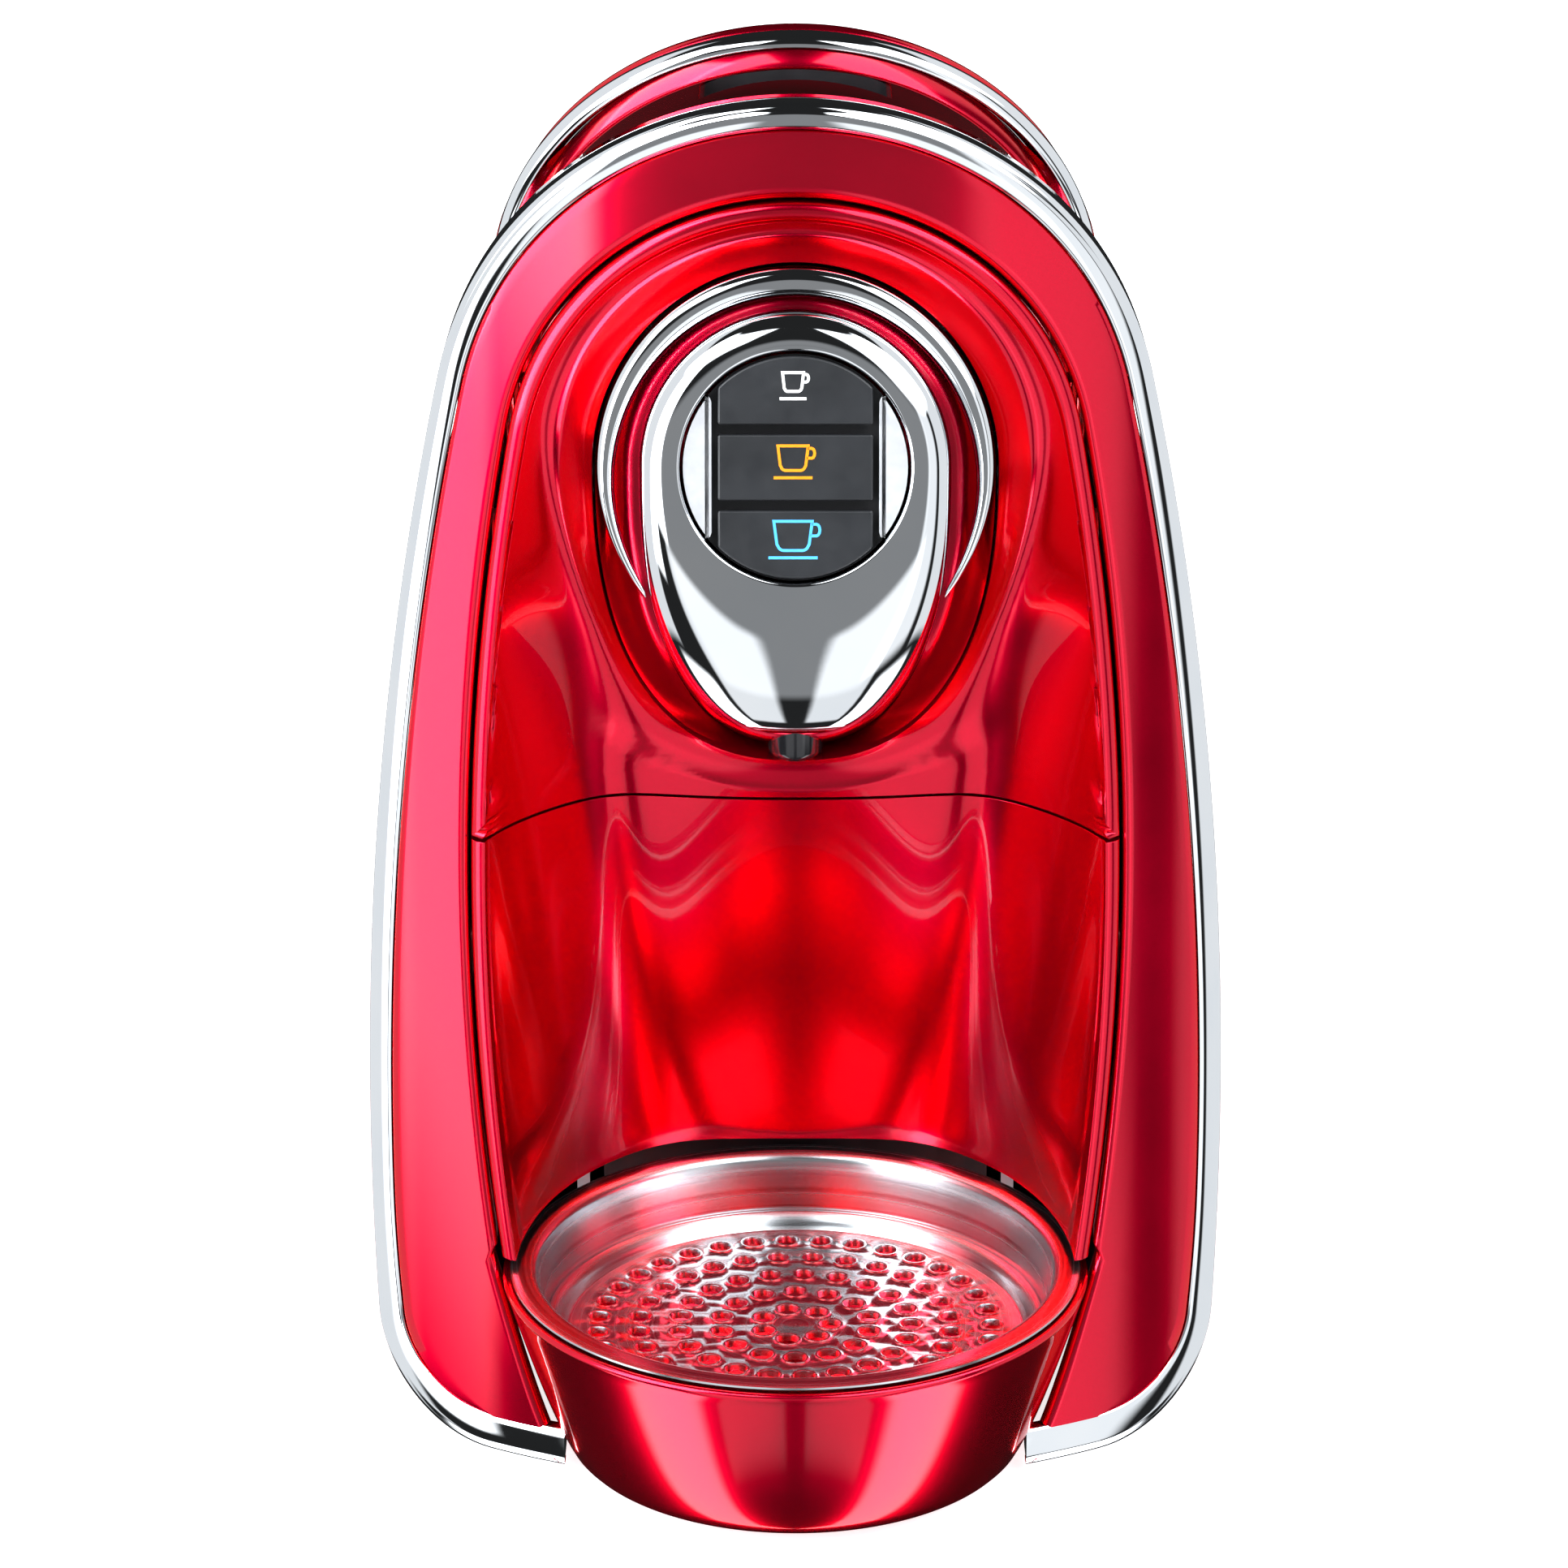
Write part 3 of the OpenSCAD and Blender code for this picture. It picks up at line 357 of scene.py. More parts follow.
def turned_noise(mat, scale, centre_y):
    """Noise in rings round a vertical axis, as turning or spinning leaves it."""
    coords = add(mat, "ShaderNodeTexCoord")
    split = add(mat, "ShaderNodeSeparateXYZ")
    shift = add(mat, "ShaderNodeMath", operation="SUBTRACT")
    shift.inputs[1].default_value = centre_y
    flat = add(mat, "ShaderNodeCombineXYZ")
    length = add(mat, "ShaderNodeVectorMath", operation="LENGTH")
    merged = add(mat, "ShaderNodeCombineXYZ")
    texture = add(mat, "ShaderNodeTexNoise")
    set_sockets(texture, Scale=scale)
    join(mat, coords, "Object", split, "Vector")
    join(mat, split, "X", flat, "X")
    join(mat, split, "Y", shift, 0)
    join(mat, shift, "Value", flat, "Y")
    join(mat, flat, "Vector", length, 0)
    join(mat, length, "Value", merged, "X")
    join(mat, split, "Z", merged, "Z")
    join(mat, merged, "Vector", texture, "Vector")
    return texture


def vary_colour(mat, texture, colour_a, colour_b):
    ramp = add(mat, "ShaderNodeValToRGB")
    for element, position, colour in zip(ramp.color_ramp.elements, (0.35, 0.65), (colour_a, colour_b)):
        element.position = position
        element.color = (*colour, 1)
    join(mat, texture, "Fac", ramp, "Fac")
    join(mat, ramp, "Color", principled(mat), "Base Color")


def vary_roughness(mat, texture, low, high):
    spread = add(mat, "ShaderNodeMapRange")
    set_sockets(spread, From_Min=0.3, From_Max=0.7, To_Min=low, To_Max=high)
    join(mat, texture, "Fac", spread, "Value")
    join(mat, spread, "Result", principled(mat), "Roughness")


def emboss(mat, texture, depth, strength=1.0):
    """Bump from a texture; depth is in millimetres."""
    bump = add(mat, "ShaderNodeBump")
    set_sockets(bump, Strength=strength, Distance=depth * MM)
    join(mat, texture, "Fac", bump, "Height")
    join(mat, bump, "Normal", principled(mat), "Normal")


def gloss_red():
    """Candy paint: bright red metallic base under a clear coat."""
    mat = new_material("gloss_red", "red_gloss", (0.84, 0.0, 0.03), 0.96, 0.2, Coat_Weight=0.6,
                       Coat_Roughness=0.02, Coat_IOR=1.5, Specular_Tint=(1.0, 0.05, 0.08, 1))
    vary_colour(mat, noise(mat, 6000, 2), (0.78, 0.0, 0.026), (0.88, 0.0, 0.036))
    vary_roughness(mat, noise(mat, 35), 0.18, 0.23)
    return mat


def chrome_plate():
    mat = new_material("chrome_plate", "chrome", (0.88, 0.90, 0.92), 1.0, 0.03)
    vary_roughness(mat, noise(mat, 25), 0.02, 0.045)
    vary_colour(mat, noise(mat, 60), (0.86, 0.885, 0.91), (0.90, 0.915, 0.93))
    return mat


def moulded_black(name, slot, colour, low, high, grain):
    """Black plastic with the fine grain of a spark-eroded mould."""
    mat = new_material(name, slot, colour, 0.0, (low + high) / 2)
    vary_roughness(mat, noise(mat, 300), low, high)
    lighter = tuple(c * 1.35 for c in colour)
    vary_colour(mat, noise(mat, 90), colour, lighter)
    emboss(mat, noise(mat, 5000, 2), grain)
    return mat


def brushed(name, slot, colour, low, high, stretch):
    mat = new_material(name, slot, colour, 1.0, (low + high) / 2)
    lines = noise(mat, 900, 3, stretch)
    vary_roughness(mat, lines, low, high)
    vary_colour(mat, lines, tuple(c * 0.93 for c in colour), colour)
    emboss(mat, lines, 0.004)
    return mat


def spun_steel():
    """Stainless steel with the fine rings that spinning and brushing leave."""
    mat = new_material("spun_steel", "stainless", (0.62, 0.64, 0.66), 1.0, 0.25)
    rings = turned_noise(mat, 1400, TRAY_Y * MM)
    vary_roughness(mat, rings, 0.17, 0.30)
    vary_colour(mat, rings, (0.56, 0.585, 0.61), (0.68, 0.70, 0.72))
    emboss(mat, rings, 0.006)
    return mat


def painted(name, slot, colour, low, high, metallic=0.0):
    mat = new_material(name, slot, colour, metallic, (low + high) / 2)
    vary_roughness(mat, noise(mat, 220), low, high)
    vary_colour(mat, noise(mat, 500), tuple(c * 0.92 for c in colour), colour)
    emboss(mat, noise(mat, 2500, 3), 0.01)
    return mat


def smoky_clear():
    mat = new_material("smoky_clear", "tank_smoke", (0.42, 0.45, 0.48), 0.0, 0.06,
                       Transmission_Weight=0.9, IOR=1.45)
    vary_roughness(mat, noise(mat, 80), 0.04, 0.10)
    emboss(mat, noise(mat, 25), 0.02)
    return mat


RED = gloss_red()
CHROME = chrome_plate()
KEY_BLACK = moulded_black("key_satin", "key_black", (0.012, 0.013, 0.015), 0.34, 0.44, 0.008)
BLACK = moulded_black("case_black", "black_plastic", (0.014, 0.014, 0.016), 0.38, 0.5, 0.02)
GLOSS_BLACK = moulded_black("spout_black", "black_plastic", (0.006, 0.006, 0.007), 0.1, 0.16, 0.002)
RUBBER = moulded_black("soft_rubber", "rubber", (0.02, 0.02, 0.02), 0.7, 0.85, 0.03)
STEEL = spun_steel()
ZINC = brushed("zinc_plate", "zinc_steel", (0.55, 0.57, 0.60), 0.28, 0.4, (1, 0.05, 1))
SILVER = painted("satin_silver", "silver_inlay", (0.80, 0.82, 0.85), 0.3, 0.38, 0.6)
ALUMINIUM = painted("cast_aluminium", "aluminium", (0.60, 0.61, 0.62), 0.42, 0.58, 1.0)
PUMP = painted("pump_steel", "pump_shell", (0.35, 0.36, 0.38), 0.3, 0.42, 0.8)
BRASS = painted("turned_brass", "brass", (0.62, 0.44, 0.20), 0.22, 0.32, 1.0)
CERAMIC = painted("matt_ceramic", "ceramic_white", (0.75, 0.72, 0.66), 0.55, 0.7)
HOSE = painted("milky_silicone", "silicone_hose", (0.66, 0.67, 0.66), 0.42, 0.55)
BOARD = painted("solder_mask", "circuit_green", (0.012, 0.12, 0.045), 0.22, 0.32)
TANK = smoky_clear()
ICON_WHITE = painted("icon_white", "key_black", (0.85, 0.86, 0.86), 0.4, 0.5)
ICON_ORANGE = painted("icon_orange", "key_black", (0.85, 0.28, 0.0), 0.4, 0.5)
ICON_BLUE = painted("icon_blue", "key_black", (0.07, 0.42, 0.85), 0.4, 0.5)


# ---------------------------------------------------------------- front frame and trim
def trim_width(u):
    """The trim is wider round the lower corners."""
    foot = max(0.0, 1 - (1 - abs(u)) / (1.5 * KNOTS[0]))
    return TRIM_W + 2.6 * sin(pi * min(1.0, foot) / 2) ** 2


def frame_ring(u):
    """Cross-section of the red frame, from the opening's edge to the trim and back behind."""
    inner = Vector(arch(opening, u, 0.0))
    outer = Vector(arch(outline, u, trim_width(u)))
    width = (outer - inner).length
    edge = [0.0, 0.08, 0.25, 0.5, 0.8, 1.15, 1.5, 1.9, 2.3]
    shares = [e / width for e in edge] + steps(0.25, 0.9, 7) + [1 - 0.3 / width, 1.0]
    front, back = [], []
    for share in sorted(shares):
        x, z = inner.lerp(outer, share)
        rolled = roll(share * width, 2.0) + roll((1 - share) * width, 0.5)
        front.append((x, front_y(x, z) + rolled, z))
        back.append((x, front_y(x, z, FRAME_T), z))
    return front + back[::-1]


def fascia_frame():
    rings = [frame_ring(u) for u in steps(-1, 1, 260)]
    piece("front_frame", [loft(rings)], "housing", RED, ["fascia_frame"], bevel=0)


def trim_ring(u):
    """Cross-section of the chrome trim: a crowned band that wraps the frame's edge."""
    w = trim_width(u) - 0.15
    profile = [(w, 2.8), (w, 0.55), (w - 0.12, 0.2), (w - 0.4, 0.02)]
    crest = w * 0.5
    for t in steps(0.08, 0.92, 8):
        e = mix(w - 0.4, 1.3, t)
        profile.append((e, -0.35 * (1 - ((e - crest) / crest) ** 2)))
    for angle in steps(90, 0, 6):
        a = radians(angle)
        profile.append((1.3 - 1.3 * cos(a), 1.3 - 1.3 * sin(a)))
    profile += [(0.0, 5.0), (0.0, TRIM_D - 1), (0.3, TRIM_D - 0.3), (1.0, TRIM_D)]
    profile += [(2.2, TRIM_D), (2.2, 4.0)]
    ring = []
    for inset, depth in profile:
        x, z = arch(outline, u, inset)
        ring.append((x, front_y(x, z) + depth, z))
    return ring


def fascia_trim():
    rings = [trim_ring(u) for u in steps(-1, 1, 300)]
    foot = []
    for side in (-1, 1):
        bar = []
        for x in eased(CORNER_X, bowl_r(GROUND_GAP) + 0.9, 14, 1.0):
            ring = []
            for px, py, pz in trim_ring(1.0):
                ring.append((side * x, py - front_y(px, pz) + front_y(x, pz), pz))
            bar.append(ring)
        foot.append(loft(bar))
    piece("front_trim", [loft(rings), *foot], "housing", CHROME, ["fascia_trim"], bevel=0, angle=50)


# ---------------------------------------------------------------- the insert and its niche
def inset_of(x, z):
    """Distance of a point from the opening's outline, positive inside."""
    x = abs(x)
    if atan2(z - OPEN_CROWN, x) > OPEN_A1:
        return OPEN_H - OPEN_CROWN - hypot(x, z - OPEN_CROWN)
    return OPEN_SIDE_R - hypot(x - OPEN_HALF + OPEN_SIDE_R, z - OPEN_Z)


def egg_radius(angle, r, low):
    """Radius of the head's outline: a half circle above, a squared half ellipse down to low."""
    if sin(angle) >= 0:
        return r
    across, down = abs(cos(angle)) / r, -sin(angle) / low
    return (across ** CHIN_POWER + down ** CHIN_POWER) ** (-1 / CHIN_POWER)


def egg_out(x, y, r, low):
    """Distance outside that outline, measured from its centre."""
    return hypot(x, y) - egg_radius(atan2(y, x), r, low)


NECK_R = RING_R + 0.8
NECK_LOW = HEAD_LOW + 2.5


def smooth(a, b, value):
    t = min(1.0, max(0.0, (value - a) / (b - a)))
    return t * t * (3 - 2 * t)


def niche_wall(x, z):
    """The concave wall: steep at the rim, level in the middle, deeper towards the tray."""
    depth = 47.8 - 0.319 * (z - SEAM_Z)
    power = mix(0.55, 1.0, min(1.0, max(0.0, (z - 42) / 128)))
    inset = inset_of(x, z) - GAP
    lip = 0.0
    if inset < BEAD:
        across = min(1.0, abs(inset / BEAD * 2 - 1))
        lip = 1.3 * (1 - sqrt(1 - across ** 2.4))
    t = min(1.0, max(0.0, (inset - BEAD * 0.85) / 49))
    return front_y(x, z) + lip + depth * (1 - (1 - t) ** 2) ** power


def horn(x, z):
    """The neck that flares from the head's rim into the niche."""
    y = (z - HEAD_Z - NECK_W * sin(HEAD_TILT)) / cos(HEAD_TILT)
    q = max(0.0, egg_out(x, y, NECK_R, NECK_LOW))
    low = smooth(196, 150, z)
    reach = mix(13, 26, low)
    depth = mix(31, 62, low)
    rim = -HEAD_SET - NECK_W * cos(HEAD_TILT) + y * sin(HEAD_TILT)
    share = min(1.0, q / reach)
    return rim + depth * sqrt(1 - (1 - share) ** 2) + 0.5 * max(0.0, q - reach)


def insert_y(x, z):
    """Smooth union of the niche's wall and the neck."""
    a, b, blend = niche_wall(x, z), horn(x, z), 2.6
    near = min(a, b)
    return near - blend * log(exp((near - a) / blend) + exp((near - b) / blend))


# Distances from the insert's edge at which its lip is resolved
EDGE = [0.0, 0.06, 0.16, 0.32, 0.55, 0.85, 1.2, 1.6, 2.0, 2.35, 2.65, 2.85, 3.0, 3.12, 3.3, 3.6,
        4.0, 4.6, 5.4]


def ray_end(cx, cz, angle, bottom):
    """Distance from a centre to the opening's edge, or to the panel's lower edge, along an angle."""
    dx, dz = cos(angle), sin(angle)
    low, high = 0.0, 200.0
    for _ in range(40):
        middle = (low + high) / 2
        inside = inset_of(cx + middle * dx, cz + middle * dz) > GAP
        low, high = (middle, high) if inside else (low, middle)
    return min(low, (bottom - cz) / dz) if dz < 0 else low


def neck_ray(angle, cz):
    """Distance from a centre to the neck's rim, seen along Y, along an angle."""
    low, high = 0.0, 100.0
    for _ in range(40):
        middle = (low + high) / 2
        z = cz + middle * sin(angle)
        y = (z - HEAD_Z - NECK_W * sin(HEAD_TILT)) / cos(HEAD_TILT)
        inside = egg_out(middle * cos(angle), y, NECK_R, NECK_LOW) < 0
        low, high = (middle, high) if inside else (low, middle)
    return low


def upper_panel():
    cz = 180.0
    bottom = SEAM_Z + GAP / 2
    corner_x = on_arc(OPEN_HALF - OPEN_SIDE_R, OPEN_Z, OPEN_SIDE_R - GAP,
                      asin((bottom - OPEN_Z) / (OPEN_SIDE_R - GAP)))[0]
    corner = atan2(bottom - cz, corner_x)
    angles = steps(corner, pi - corner, 240)[:-1]
    angles += steps(pi - corner, 2 * pi + corner, 90)[:-1]
    rings = []
    for angle in angles:
        outer = ray_end(0, cz, angle, bottom)
        inner = neck_ray(angle, cz)
        distances = [outer - e for e in EDGE]
        distances += [inner + (outer - EDGE[-1] - inner) * t for t in eased(0, 1, 34, 2.2)][-2::-1]
        front = []
        for d in distances:
            x, z = d * cos(angle), cz + d * sin(angle)
            front.append((x, insert_y(x, z), z))
        back = [(x, y + PANEL_T, z) for x, y, z in front[::3]]
        rings.append(front + back[::-1])
    piece("insert_upper", [loft(rings, wrap=True)], "housing", RED, ["upper_panel"], bevel=0.25, angle=50)


def lower_panel():
    rings = []
    bottom = RIM_Z + 2.5
    top = SEAM_Z - GAP / 2
    heights = [bottom, bottom + 0.4, bottom + 1] + steps(bottom + 2.5, top - 1, 48) + [top - 0.3, top]
    for z in heights:
        half = OPEN_HALF - OPEN_SIDE_R - GAP + sqrt(OPEN_SIDE_R ** 2 - (z - OPEN_Z) ** 2)
        side = [half - e for e in EDGE] + eased(half - EDGE[-1], 0, 36, 1.3)[1:]
        xs = [-x for x in side] + side[-2::-1]
        front = [(x, insert_y(x, z), z) for x in xs]
        back = [(x, y + PANEL_T, z) for x, y, z in front[::3]]
        rings.append(front + back[::-1])
    bridge = box_solid(-28, 28, *BRIDGE, 62, 74)
    piece("insert_lower", [loft(rings), bridge], "drawer", RED, ["lower_panel"], bevel=0.25, angle=50)


def box_solid(x0, x1, y0, y1, z0, z1):
    """A plain block, for the parts of a moulding that stay out of sight."""
    base = [(x0, y0), (x1, y0), (x1, y1), (x0, y1)]
    return loft([[(x, y, z) for x, y in base] for z in (z0, z1)])


# ---------------------------------------------------------------- brew head
def at_head(x, y, w):
    """Head frame: X across, Y up the face, W out of the face."""
    s, c = sin(HEAD_TILT), cos(HEAD_TILT)
    return x, -HEAD_SET + y * s - w * c, HEAD_Z + y * c + w * s


def head_cover():
    """The chrome shell: a thin lip round the window, then a dome that rolls over the rim."""
    rings = []
    for angle in turns(180):
        outer = egg_radius(angle, HEAD_R, HEAD_LOW)
        inner = WINDOW_R + 0.4
        width = outer - inner
        fall = mix(6.5, 14.0, smooth(6, 26, width))
        section = [(inner + 0.6, -5.0), (inner, -4.0), (inner, -0.6), (inner + 0.15, -0.25),
                   (inner + 0.5, -0.05), (inner + 0.9, -0.1)]
        for t in steps(0.06, 1, 26):
            t = sin(t * pi / 2)
            drop = fall * (1 - (1 - t ** 2.3) ** (1 / 2.3))
            section.append((mix(inner + 0.9, outer, t), -0.1 - drop))
        section += [(outer, -fall - 3), (outer, -23.2), (outer - 0.4, -23.8), (outer - 2.0, -24),
                    (outer - 2.0, -8 - fall / 2)]
        rings.append([at_head(r * cos(angle), r * sin(angle), w) for r, w in section])
    piece("head_shell", [loft(rings, wrap=True)], "housing", CHROME, ["head_cover"], bevel=0, angle=60)


def brew_ring():
    """A chrome crescent: widest on top, drawn out to points at both lower ends."""
    rings = []
    tip = radians(-41)
    for angle in steps(tip, pi - tip, 160):
        lift = (sin(angle) - sin(tip)) / (1 - sin(tip))
        width = 0.12 + 5.1 * max(0.0, lift) ** 0.55
        height = 0.15 + 2.6 * min(1.0, max(0.0, lift) * 3) ** 0.7
        section = []
        for turn in turns(20):
            across = copysign(abs(cos(turn)) ** 0.8, cos(turn))
            up = copysign(abs(sin(turn)) ** 0.9, sin(turn))
            depth = height if up > 0 else 5.0
            section.append((RING_R - width / 2 + across * width / 2, -9.6 + up * depth))
        rings.append([at_head(r * cos(angle), r * sin(angle), w) for r, w in section])
    piece("head_ring", [loft(rings)], "housing", CHROME, ["brew_ring"], bevel=0, angle=60)


def head_neck():
    """The red channel between the ring and the head."""
    rings = []
    for angle in turns(180):
        outer = egg_radius(angle, NECK_R - 0.5, NECK_LOW - 0.5)
        inner = egg_radius(angle, HEAD_R + 0.4, HEAD_LOW + 0.4)
        width = outer - inner
        section = [(outer, -14.0), (outer, -11.5)]
        for t in steps(0.1, 1, 12):
            bulge = sin(t * pi)
            section.append((mix(outer, inner, t), mix(-11.3, -18.5, t) - 0.28 * width * bulge))
        section += [(inner, -24.0), (outer, -24.0)]
        rings.append([at_head(r * cos(angle), r * sin(angle), w) for r, w in section])
    round_back = [at_head(x, y, -24) for x, y in circle(0, -6, 26, 48)]
    tube = [[(x, y, z) for x, _, z in round_back] for y in steps(-2, 38, 4)]
    piece("head_neck_channel", [loft(rings, wrap=True), loft(tube)], "housing", RED, ["head_neck"],
          bevel=0, angle=50)


def window_plate(points, w0, w1):
    """A prism in the head's frame."""
    return loft([[at_head(x, y, w) for x, y in points] for w in (w0, w1)])


def key_outline(row):
    """A key's outline: the window's circle cut by the key column and the gaps between rows."""
    r, half, gap = WINDOW_R - 0.45, KEY_W / 2 - 0.2, 0.85
    pitch = 2 * WINDOW_R / 3
    low, high = (row - 0.5) * pitch + gap, (row + 0.5) * pitch - gap
    if row == 0:
        return [(-half, low), (half, low), (half, high), (-half, high)]
    sign = 1 if row > 0 else -1
    level = low if row > 0 else high
    edge = acos(half / r)
    arc = [(r * cos(a), sign * r * sin(a)) for a in steps(edge, pi - edge, 28)]
    return [(-half, level), (half, level), *arc]


def keys():
    rows = {"key_small": 1, "key_medium": 0, "key_large": -1}
    for node, row in rows.items():
        piece(node + "_cap", [window_plate(key_outline(row), -2.3, 0.25)], node, KEY_BLACK, [node],
              bevel=0.45, angle=25)


def ribbon(points, width, closed):
    """A flat band of even width along a line, as the outline of a printed icon."""
    n = len(points)
    left, right = [], []
    for i, point in enumerate(points):
        before = points[i - 1] if i or closed else point
        after = points[(i + 1) % n] if i < n - 1 or closed else point
        a = (Vector(point) - Vector(before)).normalized() if before != point else None
        b = (Vector(after) - Vector(point)).normalized() if after != point else None
        a, b = a or b, b or a
        across = Vector((-a.y - b.y, a.x + b.x)).normalized()
        reach = width / 2 / max(0.3, across.dot(Vector((-a.y, a.x))))
        left.append(tuple(Vector(point) + across * reach))
        right.append(tuple(Vector(point) - across * reach))
    rings = []
    for a, b in zip(left, right):
        rings.append([at_head(*a, 0.2), at_head(*b, 0.2), at_head(*b, 0.32), at_head(*a, 0.32)])
    return loft(rings, wrap=closed)


def cup_icon(name, body, material, centre_y, width, height):
    """A cup seen from the side: tapered bowl, handle and saucer line."""
    top, low, taper, r = height / 2, -height / 2, width * 0.1, width * 0.16
    bowl = [(-width / 2, top), (-width / 2 + taper * 0.8, low + r)]
    bowl += [(-width / 2 + taper + r - r * cos(a), low + r - r * sin(a))
             for a in steps(0.3, pi / 2, 5)]
    bowl += [(-x, y) for x, y in bowl[::-1]]
    handle_r = height * 0.2
    hx, hy = width / 2 - taper * 0.3, top - handle_r * 1.5
    handle = [(hx, hy + handle_r), (hx + handle_r * 0.9, hy + handle_r)]
    handle += [(hx + handle_r * 0.9 + handle_r * 0.6 * cos(a), hy + handle_r * sin(a))
               for a in steps(pi / 3, -pi / 3, 4)]
    handle += [(hx + handle_r * 0.9, hy - handle_r), (hx - taper * 0.3, hy - handle_r)]
    saucer_y = low - 1.25
    saucer = [(-width * 0.64, saucer_y), (width * 0.64, saucer_y)]
    move = [[(x - 0.4, y + centre_y) for x, y in line] for line in (bowl, handle, saucer)]
    parts = [ribbon(line, 0.5, line is move[0]) for line in move]
    piece(name, parts, body, material, bevel=0)


def inlays():
    parts = []
    for side in (-1, 1):
        r, half = WINDOW_R - 0.2, KEY_W / 2 + 0.9
        reach = asin(12.2 / r)
        arc = [(side * r * cos(a), r * sin(a)) for a in steps(-reach, reach, 20)]
        corner = [(side * (half + 0.9), 12.2), (side * (half + 0.25), 11.9), (side * half, 11.2)]
        corner += [(x, -y) for x, y in corner[::-1]]
        parts.append(window_plate(arc + corner, -3.9, -0.9))
    piece("window_inlays", parts, "housing", SILVER, ["key_inlays"], bevel=0.25, angle=25)


def spout():
    """The outlet nozzle: a collar, a straight barrel and a chamfered, hollow tip."""
    z0 = span("spout", 2)[0]
    profile = [(0.0, z0 + 6.0), (2.2, z0 + 5.8), (3.0, z0 + 4), (3.4, z0 + 0.3), (3.7, z0),
               (4.1, z0 + 0.1), (SPOUT_R - 0.1, z0 + 1.0), (SPOUT_R, z0 + 1.4), (SPOUT_R, z0 + 9.3),
               (0.0, z0 + 9.3)]
    piece("outlet_spout", [lathe(profile, 64, (0.0, -SPOUT_SET))], "housing", GLOSS_BLACK, ["spout"],
          bevel=0)


# ---------------------------------------------------------------- tray
def tray_bowl():
    """The red bowl, with a soft foot, a rolled rim and the tongue that hooks into the drawer."""
    outer = [(bowl_r(z), z) for z in eased(BOWL_Z0 + 1.2, RIM_Z - 1.4, 22, 1.0)]
    inner = [(r - 2.4, z) for r, z in outer[::-1]]
    foot = [(0.0, BOWL_Z0), (FOOT_R - 6, BOWL_Z0), (FOOT_R - 1.6, BOWL_Z0 + 0.1),
            (FOOT_R + 0.1, BOWL_Z0 + 0.4)]
    rim = [(TRAY_R - 0.15, RIM_Z - 0.7), (TRAY_R - 0.4, RIM_Z - 0.2), (TRAY_R - 1.0, RIM_Z),
           (TRAY_R - 1.9, RIM_Z - 0.2)]
    floor = [(FOOT_R - 3, BOWL_Z0 + 2.6), (0.0, BOWL_Z0 + 2.5)]
    tongue = box_solid(-12, 12, 44, 61, 18, 22)
    piece("tray_bowl_shell", [lathe(foot + outer + rim + inner + floor, 180), tongue], "tray", RED,
          ["tray_bowl"], bevel=0, angle=50)


def tray_dish():
    """The steel dish: a rolled rim, a deep wall and a step that carries the grille."""
    top = span("tray_dish", 2)[1]
    r = DISH_R
    upper = [(r - 0.5, top - 1.0), (r - 0.05, top - 0.5), (r - 0.1, top - 0.15), (r - 0.6, top)]
    upper += [(r - 2.6 + 2.0 * cos(a) - 0.6, top - 1.9 + 2.0 * sin(a))
              for a in steps(1.3, 2.9, 9)]
    wall = [(r - 5.6, top - 4), (r - 6.0, top - 7), (GRILLE_R + 5.4, DISH_Z + 3.6)]
    step = [(GRILLE_R + 4.6 + 0.9 * cos(a), DISH_Z + 3.2 + 0.9 * sin(a))
            for a in steps(0.6, 2.2, 4)]
    well = [(GRILLE_R + 2.9, DISH_Z + 2.2), (GRILLE_R + 2.2, DISH_Z + 0.8), (GRILLE_R + 1.6, DISH_Z + 0.3),
            (GRILLE_R - 1, DISH_Z)]
    under = [(GRILLE_R - 1, DISH_Z - 0.8), (GRILLE_R + 2.6, DISH_Z - 0.4), (GRILLE_R + 4.0, DISH_Z + 1.8),
             (GRILLE_R + 6.6, DISH_Z + 3.0), (r - 5.0, top - 7.4), (r - 4.2, top - 4), (r - 2.6, top - 1.8)]
    profile = upper + wall + step + well + under
    rings = [[(pr * cos(a), pr * sin(a), z) for pr, z in profile] for a in turns(200)]
    piece("tray_dish_steel", [loft(rings, wrap=True)], "tray", STEEL, ["tray_dish"], bevel=0, angle=45)


def drain_places():
    places = []
    for ring in range(5):
        count = 7 + 7 * ring
        for i in range(count):
            a = radians((i + ring / 2) * 360 / count)
            places.append(((6.5 + ring * 7.6) * cos(a), (6.5 + ring * 7.6) * sin(a)))
    return places


